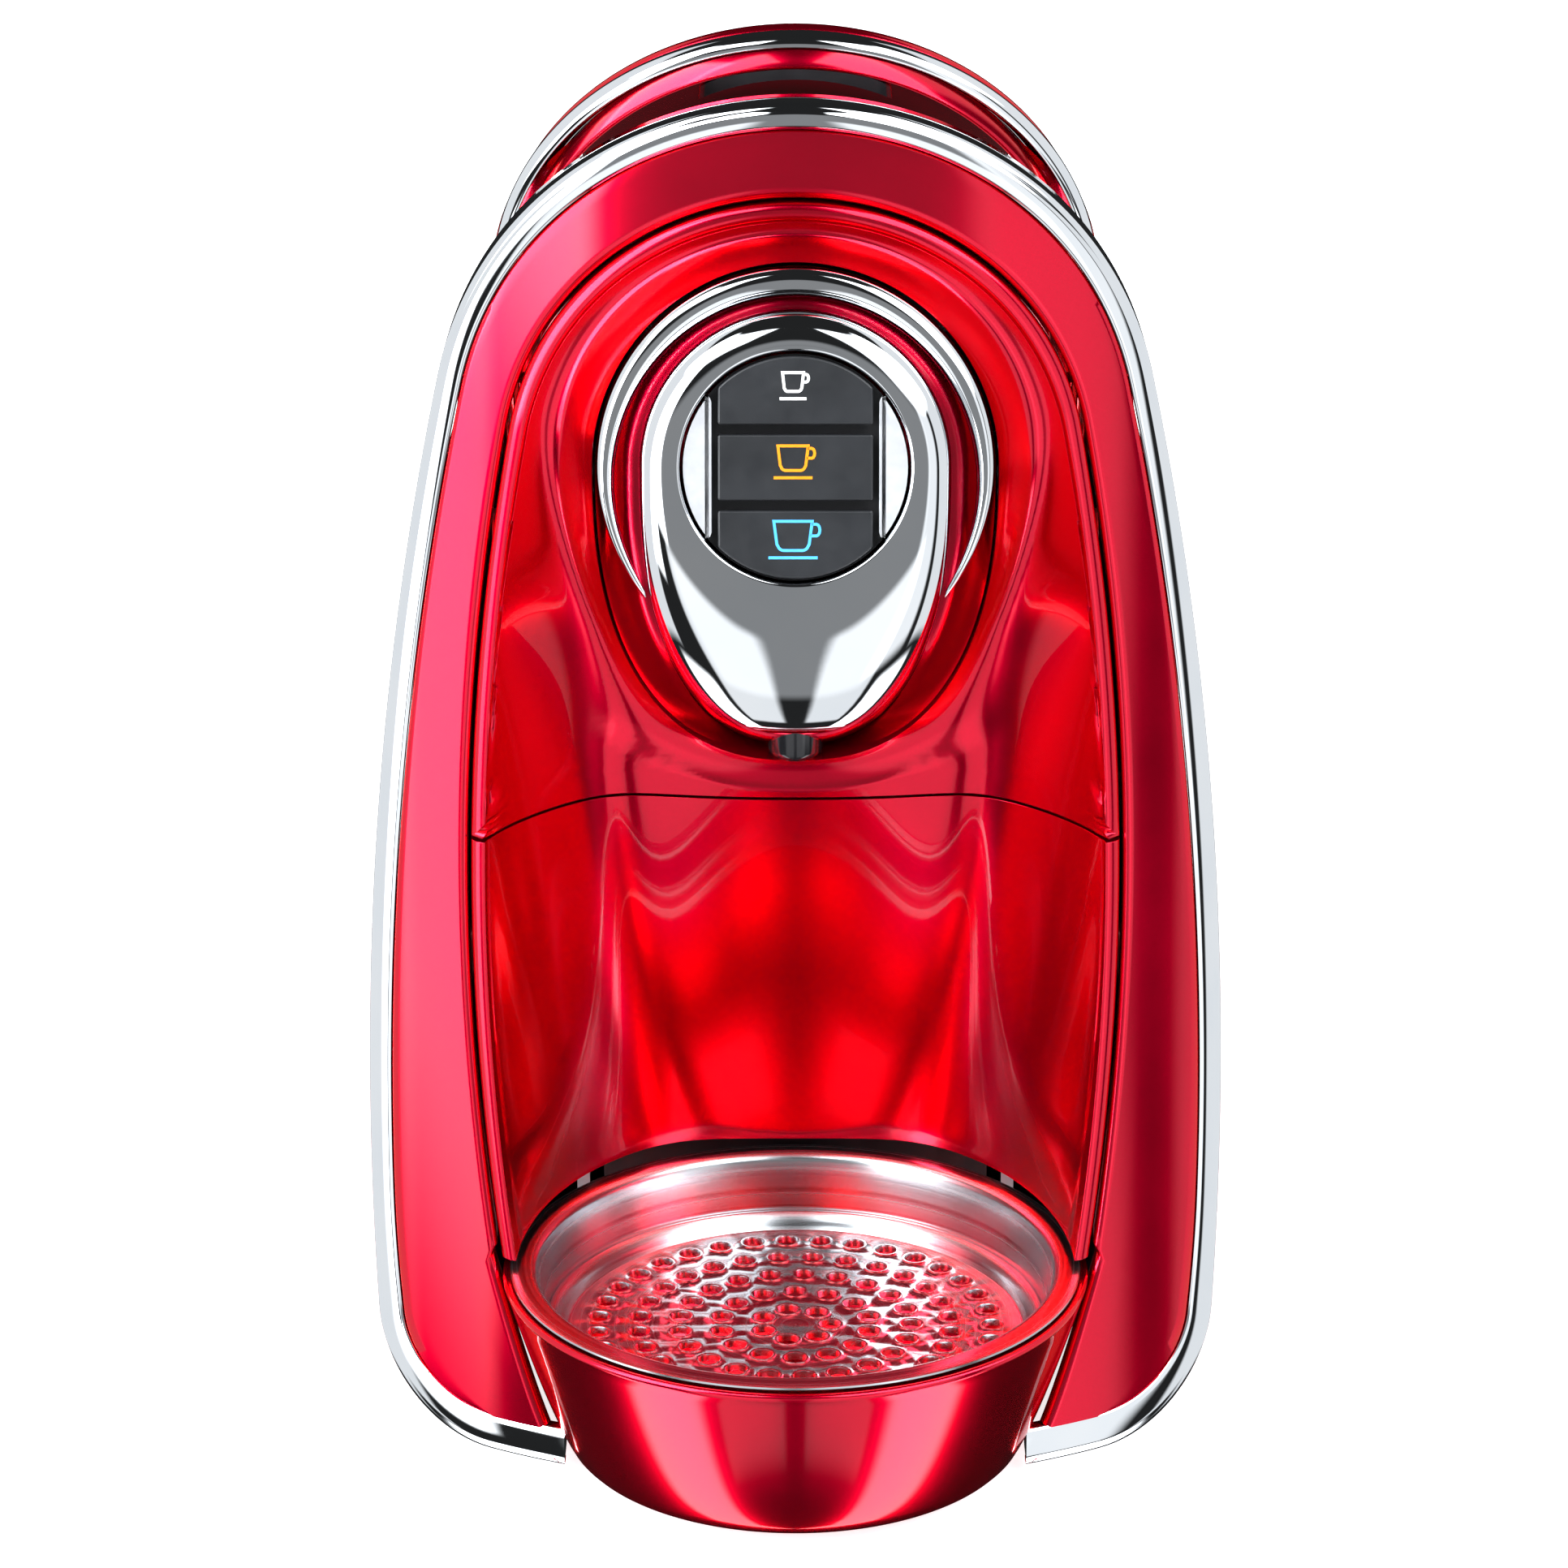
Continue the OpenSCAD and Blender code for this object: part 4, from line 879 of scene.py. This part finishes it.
def tray_grille():
    """The perforated plate: each drain hole has a raised, rounded lip."""
    top = span("tray_grille", 2)[1]
    rim_r, lip_r, hole_n = GRILLE_R + 1.2, 2.75, 20
    points, edges = [], []

    def ring_of(cx, cy, r, n):
        start = len(points)
        points.extend(circle(cx, cy, r, n))
        edges.extend((start + i, start + (i + 1) % n) for i in range(n))

    ring_of(0, 0, rim_r, 140)
    places = drain_places()
    for cx, cy in places:
        ring_of(cx, cy, lip_r, hole_n)
    verts2d, _, faces2d, *_ = delaunay_2d_cdt([Vector(p) for p in points], edges, [], 2, 1e-4)
    flat = []
    for face in faces2d:
        mx = sum(verts2d[i].x for i in face) / len(face)
        my = sum(verts2d[i].y for i in face) / len(face)
        if all(hypot(mx - cx, my - cy) > lip_r * 0.98 for cx, cy in places):
            flat.append(tuple(face))
    verts = [(v.x, v.y, top) for v in verts2d]
    faces = list(flat)
    base = len(verts)
    verts += [(v.x, v.y, top - 1.2) for v in verts2d]
    faces += [tuple(base + i for i in face[::-1]) for face in flat]
    rim = [i for i, v in enumerate(verts2d) if hypot(v.x, v.y) > rim_r - 0.01]
    rim.sort(key=lambda i: atan2(verts2d[i].y, verts2d[i].x))
    for a, b in zip(rim, rim[1:] + rim[:1]):
        faces.append((a, b, base + b, base + a))
    lip = [(lip_r, top), (2.55, top + 0.22), (2.3, top + 0.3), (2.08, top + 0.2), (2.0, top - 0.1),
           (2.0, top - 1.2), (lip_r, top - 1.2)]
    for cx, cy in places:
        start = len(verts)
        for r, z in lip:
            verts += [(x, y, z) for x, y in circle(cx, cy, r, hole_n)]
        for k in range(len(lip) - 1):
            a, b = start + k * hole_n, start + (k + 1) * hole_n
            faces += [(a + j, a + (j + 1) % hole_n, b + (j + 1) % hole_n, b + j) for j in range(hole_n)]
    plate = piece("grille_plate", [(verts, faces)], "grille", STEEL, ["tray_grille"], bevel=0, angle=50)
    plate.visible_glossy = False


# ---------------------------------------------------------------- lever
def at_lever(x, y, z):
    """Lever frame: X across, Y through the band, Z away from the shaft."""
    s, c = sin(LEVER_LEAN), cos(LEVER_LEAN)
    return x, SHAFT_Y + y * c - z * s, SHAFT_Z + y * s + z * c


def lever_path(outer):
    """Points up one arm, round the arch and down the other: (x, z, outward normal, arm height)."""
    path = [(outer, z, (1.0, 0.0)) for z in steps(-7.6, LEVER_ARM, 34)]
    for a in steps(0, pi, 96)[1:-1]:
        path.append((outer * cos(a), LEVER_ARM + outer * sin(a), (cos(a), sin(a))))
    return path + [(-x, z, (-n[0], n[1])) for x, z, n in path[33::-1]]


def lever_loop(outer, thick, y0, y1, dome, sink=0.0):
    """The band swept along the path; its arms end round the shaft, and sink draws the arch inwards."""
    rings = []
    for x, z, normal in lever_path(outer):
        keep = sqrt(max(0.02, 1 - (min(0.0, z) / 8) ** 2))
        section = []
        for turn in turns(28):
            across = copysign(abs(cos(turn)) ** 0.55, cos(turn))
            through = copysign(abs(sin(turn)) ** dome, sin(turn))
            inward = thick / 2 * (1 - across) + sink * smooth(0.0, 0.5, normal[1])
            y = mix(y0, y1, (through + 1) / 2) * keep
            section.append(at_lever(x - inward * normal[0], y, z - inward * normal[1]))
        rings.append(section)
    return loft(rings)


def lever_eye(side):
    """The round end of an arm, where the shaft passes through it."""
    inner, outer, chamfer = LINER_R - LEVER_T, LEVER_R + 0.8, 0.4
    rings = []
    for x, r in ((inner, 8.6), (inner + chamfer, 9.0), (outer - chamfer, 9.0), (outer, 8.6)):
        rings.append([at_lever(side * x, *p) for p in circle(0, 0, r, 48)])
    return loft(rings)


def lever():
    chrome = lever_loop(LEVER_R, LEVER_T, -7.0, -1.4, 0.9)
    liner = lever_loop(LINER_R, LEVER_T - 1.6, -1.7, 2.0, 0.7, sink=1.6)
    eyes = [lever_eye(-1), lever_eye(1)]
    piece("lever_chrome", [chrome], "lever", CHROME, ["lever_arch"], bevel=0, angle=60)
    piece("lever_liner", [liner, *eyes], "lever", RED, ["lever_back"], bevel=0, angle=60)


# ---------------------------------------------------------------- housing
def shell_half(z, inset):
    """Half width of the front's outline at a height."""
    if z < CORNER_Z:
        r = CORNER_R - inset
        return CORNER_X + sqrt(max(0.0, r * r - (CORNER_Z - z) ** 2))
    side = HALF_W - SIDE_R + sqrt((SIDE_R - inset) ** 2 - (z - WIDEST_Z) ** 2)
    top = FRONT_H - CROWN_Z - inset
    if z > CROWN_Z:
        return sqrt(max(0.0, top * top - (z - CROWN_Z) ** 2))
    return side


def side_shell(side, node):
    """A side wall that turns over at the top, with a notch where the lever's arm passes."""
    profile = [(shell_half(z, SHELL_INSET), z) for z in steps(BASE_TOP + 0.2, SHELL_Z - ROLL_R, 60)]
    wide = profile[-1][0]
    for angle in steps(0, 90, 10)[1:]:
        a = radians(angle)
        profile.append((wide - ROLL_R + ROLL_R * cos(a), SHELL_Z - ROLL_R + ROLL_R * sin(a)))
    lip = len(profile)
    wall_x = profile[-1][0]
    profile += [(mix(wall_x, COVER_R + 0.6, t), SHELL_Z) for t in (0.12, 0.5, 1.0)]
    # rows run from the trim to the rear; the notch's ends are rows of their own
    rows_y = [36, 45, 52, 58, NOTCH_Y[0], 64, 80, 100, 120, 140, 154, NOTCH_Y[1], 160, 170, 190,
              SWITCH_Y, 213, 225, REAR_Y - 4, REAR_Y - 1.2, REAR_Y]
    first = rows_y[0]
    rows = []
    for y in rows_y:
        row = []
        for x, z in profile:
            start = front_y(min(x, 79), z, TRIM_D + 0.3)
            inset = roll(REAR_Y - y, ROLL_R) * 0.6
            py = mix(start, REAR_Y, (y - first) / (REAR_Y - first)) if y < 58 else y
            py = max(py, start)
            sag = 15 * smooth(158, REAR_Y, y) * smooth(SHELL_Z - 60, SHELL_Z, z)
            row.append((side * (x - inset), py, z - sag - (inset if z > SHELL_Z - 6 else 0)))
        rows.append(row)

    def hole(i, j):
        notch = NOTCH_Y[0] <= rows_y[i] < NOTCH_Y[1] and j >= lip
        z = (profile[j][1] + profile[j + 1][1]) / 2
        switch = side > 0 and rows_y[i] == SWITCH_Y and abs(z - SWITCH_Z) < 5
        return notch or switch

    piece("side_wall_" + ("right" if side > 0 else "left"), [sheet(rows, hole)], "housing", RED, [node],
          bevel=0.5, wall=2.2, angle=40)


def cover_height(y):
    """The top cover's arch falls away towards the tank."""
    return mix(COVER_R, 12.0, smooth(112, REAR_Y + 16, y))


def top_cover():
    """The arched cover with its capsule slot, and the wall that closes it behind."""
    rows = []
    ys = [0, 20, 34, 50, 60, SLOT_Y[0], 78, 88, SLOT_Y[1], 104, 112] + steps(120, REAR_Y - 5, 22)
    ys += [REAR_Y - 2.5, REAR_Y - 0.8, REAR_Y]
    slot_a = acos(SLOT_W / COVER_R)
    angles = steps(0, slot_a, 14) + steps(slot_a, pi / 2, 7)[1:]
    angles += [pi - a for a in angles[-2::-1]]
    for y in ys:
        drop = roll(REAR_Y - y, ROLL_R)
        r = COVER_R - drop
        h = cover_height(y) - drop
        row = [(r, z) for z in steps(COVER_Z0, SHELL_Z - 3, 3)]
        row += [(r * cos(a), SHELL_Z - 1 + h * sin(a)) for a in angles]
        row += [(-x, z) for x, z in row[3::-1]]
        rows.append([(x, max(y, front_y(x, z, TRIM_D + 0.3)) if y < 34 else y, z) for x, z in row])

    def hole(i, j):
        x = (rows[i][j][0] + rows[i][j + 1][0]) / 2
        return SLOT_Y[0] <= ys[i] < SLOT_Y[1] and abs(x) < SLOT_W

    piece("cover_top", [sheet(rows, hole)], "housing", RED, ["top_cover"], bevel=0.5, wall=2.3, angle=40)
    wall = []
    h, r = cover_height(REAR_Y) - 7.2, COVER_R - 7.2
    for y in (REAR_Y - 2.4, REAR_Y - 0.2):
        over = [(r * cos(a), y, SHELL_Z - 1 + h * sin(a)) for a in steps(0, pi, 40)]
        wall.append([(r, y, COVER_Z0), *over, (-r, y, COVER_Z0)])
    piece("cover_end", [loft(wall)], "housing", RED, bevel=0.3)


def rear_panel():
    """The back wall with its louvres, behind the tank."""
    rows = []
    louvres = [108 + 5 * i + d for i in range(9) for d in (0, 2.4)]
    zs = [BASE_TOP + 0.3, 17, 22, 30, 42, 50, 60, 80, 104] + louvres + [160, COVER_Z0 - 0.3]
    shares = [-1, -0.9, -0.66] + steps(-0.6, 0.6, 12) + [0.66, 0.9, 1]
    for z in zs:
        half = shell_half(z, SHELL_INSET + SHELL_T + 0.4)
        rows.append([(s * half, REAR_Y - 0.2, z) for s in shares])

    def hole(i, j):
        slot = 108 <= zs[i] < 152 and (i - 9) % 2 == 0
        rib = abs((shares[j] + shares[j + 1]) / 2) < 0.06
        return slot and abs((shares[j] + shares[j + 1]) / 2) < 0.6 and not rib
    piece("back_wall", [sheet(rows, hole)], "housing", BLACK, ["rear_panel"], bevel=0.3, wall=2.2)


def rounded_ring(x1, y0, y1, r, z, n=8):
    """A rounded rectangle, symmetrical across the width."""
    corners = [(x1 - r, y1 - r, 0), (-x1 + r, y1 - r, 90), (-x1 + r, y0 + r, 180), (x1 - r, y0 + r, 270)]
    ring = []
    for cx, cy, start in corners:
        for angle in steps(start, start + 90, n):
            a = radians(angle)
            ring.append((cx + r * cos(a), cy + r * sin(a), z))
    return ring


def water_tank():
    """A clear moulded tank with soft edges, a rolled rim, a foot with the valve and hinge lugs."""
    x1, z0, z1, wall, r = TANK_HALF, TANK_Z0, TANK_Z, TANK_WALL, TANK_CORNER
    y0, y1 = TANK_Y0, span("water_tank", 1)[1] - TRAY_Y - 5

    def ring(o, corner, z):
        return rounded_ring(x1 - o, y0 + o, y1 - o, corner, z)

    rings = []
    for a in steps(0, pi / 2, 6):
        o = 5 * (1 - sin(a))
        rings.append(ring(o, r - o * 0.5, z0 + 5 * (1 - cos(a))))
    rings += [ring(0, r, z) for z in steps(z0 + 20, z1 - 8, 6)]
    rings += [ring(0, r, z1 - 0.5), ring(0.4, r - 0.3, z1)]
    rings += [ring(1.8, 8.4, z1), ring(wall, 8, z1 - 0.5)]
    rings += [ring(wall, 8, z) for z in steps(z1 - 8, z0 + 20, 6)]
    for a in steps(pi / 2, 0, 6):
        o = wall + 4 * (1 - sin(a))
        rings.append(ring(o, 8, z0 + wall + 4 * (1 - cos(a))))
    outline_yz = [(y1 - 0.5, 186), (y1 + 4.6, 190), (y1 + 4.8, HINGE_Z), (y1 + 3, 202.2),
                  (y1 + 0.2, 202.2), (y1 - 1.6, HINGE_Z), (y1 - 0.5, TANK_Z)]
    lugs = [loft([[(side * x, y, z) for y, z in outline_yz] for x in LUG_X]) for side in (-1, 1)]
    outlet = lathe([(4, 9), (7.6, 9), (8, 9.4), (8, 14.5), (4, 14.5)], 40, (0.0, y0 + 22))
    piece("tank_clear", [loft(rings), *lugs, outlet], "tank", TANK, ["water_tank"], bevel=0, angle=40)


def tank_lid():
    """The lid with its raised edge, a grip along the front and the hinge's barrel and pin."""
    x1, y0, y1 = TANK_HALF, TANK_Y0, span("water_tank", 1)[1] - TRAY_Y - 7
    z = TANK_Z + 0.3
    levels = [(0.8, 9.2, 0.0), (0.0, 10, 0.6), (0.0, 10, 1.8), (0.5, 9.6, 2.7), (1.6, 8.6, 3.1),
              (9, 4, 3.1), (10, 4, 2.5), (12, 4, 2.4)]
    rings = [rounded_ring(x1 - o, y0 + o, y1 - o, r, z + up) for o, r, up in levels]
    pin_y = span("tank_lid", 1)[1] - TRAY_Y - KNUCKLE_R

    def disc(x, r, n):
        return [(x, *p) for p in circle(pin_y, HINGE_Z, r, n)]

    ends = [(-29.5, 2.8), (-29.1, KNUCKLE_R), (29.1, KNUCKLE_R), (29.5, 2.8)]
    barrel = loft([disc(x, r, 32) for x, r in ends])
    pin = loft([disc(x, PIN_R, 24) for x in (-36.2, 36.2)])
    neck = box_solid(-29, 29, y1 - 2, pin_y - 0.5, z + 0.3, z + 3)
    grip = loft([rounded_ring(22, y0 + 4, y0 + 8.5, 2, z + 2.6),
                 rounded_ring(22, y0 + 4, y0 + 8.5, 2, z + 4.4),
                 rounded_ring(21.4, y0 + 4.6, y0 + 7.9, 1.6, z + 5)])
    piece("tank_cover", [loft(rings), barrel, pin, neck, grip], "tank_lid", BLACK, ["tank_lid"],
          bevel=0, angle=40)


def rubber_feet():
    profile = [(0, 0.35), (2.6, 0.3), (3.1, 0), (3.6, 0.25), (4.0, 1.0), (4.0, 4.2), (3.7, 4.5), (0, 4.5)]
    parts = []
    for x, y in zip((TRAY_R + 7, TANK_HALF - 8), FOOT_Y):
        parts += [lathe(profile, 40, (x, y)), lathe(profile, 40, (-x, y))]
    piece("foot_pads", parts, "housing", RUBBER, ["rubber_feet"], bevel=0)


# ---------------------------------------------------------------- stage
def dress_frame():
    """Gives every CAD node that stays in sight its material."""
    materials = [RED, CHROME, KEY_BLACK, BLACK, RUBBER, STEEL, ZINC, SILVER, ALUMINIUM, PUMP, BRASS,
                 CERAMIC, HOSE, BOARD, TANK]
    by_slot = {material["slot"]: material for material in materials}
    for row in frame["record"]["subparts"]:
        mesh = frame["nodes"][row["node"]].data
        mesh.materials.clear()
        mesh.materials.append(by_slot[row["material_slot"]])


def floor():
    """A glowing white table, which the machine's mirrors don't see."""
    mesh = bpy.data.meshes.new("floor")
    mesh.from_pydata([(-6, -6, 0), (6, -6, 0), (6, 6, 0), (-6, 6, 0)], [], [(0, 1, 2, 3)])
    obj = bpy.data.objects.new("floor", mesh)
    bpy.context.scene.collection.objects.link(obj)
    mat = new_material("white_table", "floor", (0.8, 0.8, 0.8), 0.0, 0.7,
                       Emission_Color=(1, 1, 1, 1), Emission_Strength=0.8)
    mesh.materials.append(mat)
    obj.visible_glossy = False


def sky_math(tree, operation, a, b=None):
    node = tree.nodes.new("ShaderNodeMath")
    node.operation = operation
    for socket, value in ((0, a), (1, b)):
        if isinstance(value, (int, float)):
            node.inputs[socket].default_value = value
        elif value is not None:
            tree.links.new(value, node.inputs[socket])
    return node.outputs[0]


def sky_ramp(tree, value, dark, bright):
    """0 at one angle and 1 at the other, in degrees."""
    node = tree.nodes.new("ShaderNodeMapRange")
    node.interpolation_type = "SMOOTHSTEP"
    node.inputs["From Min"].default_value = radians(dark)
    node.inputs["From Max"].default_value = radians(bright)
    tree.links.new(value, node.inputs["Value"])
    return node.outputs["Result"]


def sky_band(tree, value, low, high, soft):
    rise = sky_ramp(tree, value, low - soft, low)
    return sky_math(tree, "MULTIPLY", rise, sky_ramp(tree, value, high + soft, high))


# The studio's lit panels: azimuth from and to, elevation from and to, softness in degrees, and
# radiance. Azimuth 0 is towards the camera and positive to the right.
PANELS = [
    (-74, -40, 3, 45, 6, 8.5),                # big softbox on the left
    (-77, -60, -11, 3, 5, 4.0),               # its narrow foot
    (-95, -18, 45, 64, 5, 5.0),               # softbox high on the left
    (20, 95, 30, 64, 5, 4.5),                 # softbox high on the right
    (36, 60, -26, 28, 7, 1.0),                # strip on the right
    (-34, 32, -30, 22, 8, 0.24),              # weak fill round the camera
    (8, 40, -62, -4, 4, 0.9),                 # bright table, right half
    (-40, -8, -62, -4, 4, 0.9),               # bright table, left half
    (56, 84, -90, -42, 8, 5.0),               # low strip on the right
    (-84, -56, -90, -42, 8, 5.0),             # low strip on the left
    (77, 150, -30, 50, 4, 0.85),              # grey wall on the right
    (-150, -77, -30, 50, 4, 0.85),            # grey wall on the left
]


def studio():
    """A dark room with soft panels round the machine; the camera itself sees white."""
    world = bpy.data.worlds.new("studio")
    bpy.context.scene.world = world
    world.use_nodes = True
    tree = world.node_tree
    tree.nodes.clear()
    split = tree.nodes.new("ShaderNodeSeparateXYZ")
    tree.links.new(tree.nodes.new("ShaderNodeTexCoord").outputs["Generated"], split.inputs[0])
    toward = sky_math(tree, "MULTIPLY", split.outputs["Y"], -1.0)
    azimuth = sky_math(tree, "ARCTAN2", split.outputs["X"], toward)
    elevation = sky_math(tree, "ARCSINE", split.outputs["Z"])
    total = 0.018
    for az0, az1, el0, el1, soft, radiance in PANELS:
        across = sky_band(tree, azimuth, az0, az1, soft)
        up = sky_band(tree, elevation, el0, el1, soft)
        share = sky_math(tree, "MULTIPLY", across, up)
        total = sky_math(tree, "ADD", sky_math(tree, "MULTIPLY", share, radiance), total)
    out = tree.nodes.new("ShaderNodeOutputWorld")
    choose = tree.nodes.new("ShaderNodeMixShader")
    path = tree.nodes.new("ShaderNodeLightPath")
    room = tree.nodes.new("ShaderNodeBackground")
    backdrop = tree.nodes.new("ShaderNodeBackground")
    room.inputs["Color"].default_value = (0.94, 0.97, 1.0, 1)
    tree.links.new(total, room.inputs["Strength"])
    backdrop.inputs["Color"].default_value = (1, 1, 1, 1)
    tree.links.new(path.outputs["Is Camera Ray"], choose.inputs["Fac"])
    tree.links.new(room.outputs["Background"], choose.inputs[1])
    tree.links.new(backdrop.outputs["Background"], choose.inputs[2])
    tree.links.new(choose.outputs["Shader"], out.inputs["Surface"])


def camera():
    """The photograph's view: from ahead and above, on the machine's centre line."""
    data = bpy.data.cameras.new("camera")
    data.sensor_width = 36.0
    data.lens = 109.0
    data.shift_x = -0.00725
    obj = bpy.data.objects.new("camera", data)
    obj.location = (0, -0.9338, 0.415)
    obj.rotation_euler = (radians(90 - 19.43), 0, 0)
    bpy.context.scene.collection.objects.link(obj)
    bpy.context.scene.camera = obj


bpy.context.scene.view_settings.view_transform = "Standard"
camera()
studio()
floor()
dress_frame()
fascia_frame()
fascia_trim()
upper_panel()
lower_panel()
head_cover()
brew_ring()
head_neck()
keys()
cup_icon("icon_small", "key_small", ICON_WHITE, 14.6, 3.6, 3.2)
cup_icon("icon_medium", "key_medium", ICON_ORANGE, 1.6, 5.2, 4.2)
cup_icon("icon_large", "key_large", ICON_BLUE, -11.7, 6.6, 5.0)
inlays()
spout()
tray_bowl()
tray_dish()
tray_grille()
lever()
side_shell(-1, "side_shell_left")
side_shell(1, "side_shell_right")
top_cover()
rear_panel()
water_tank()
tank_lid()
rubber_feet()
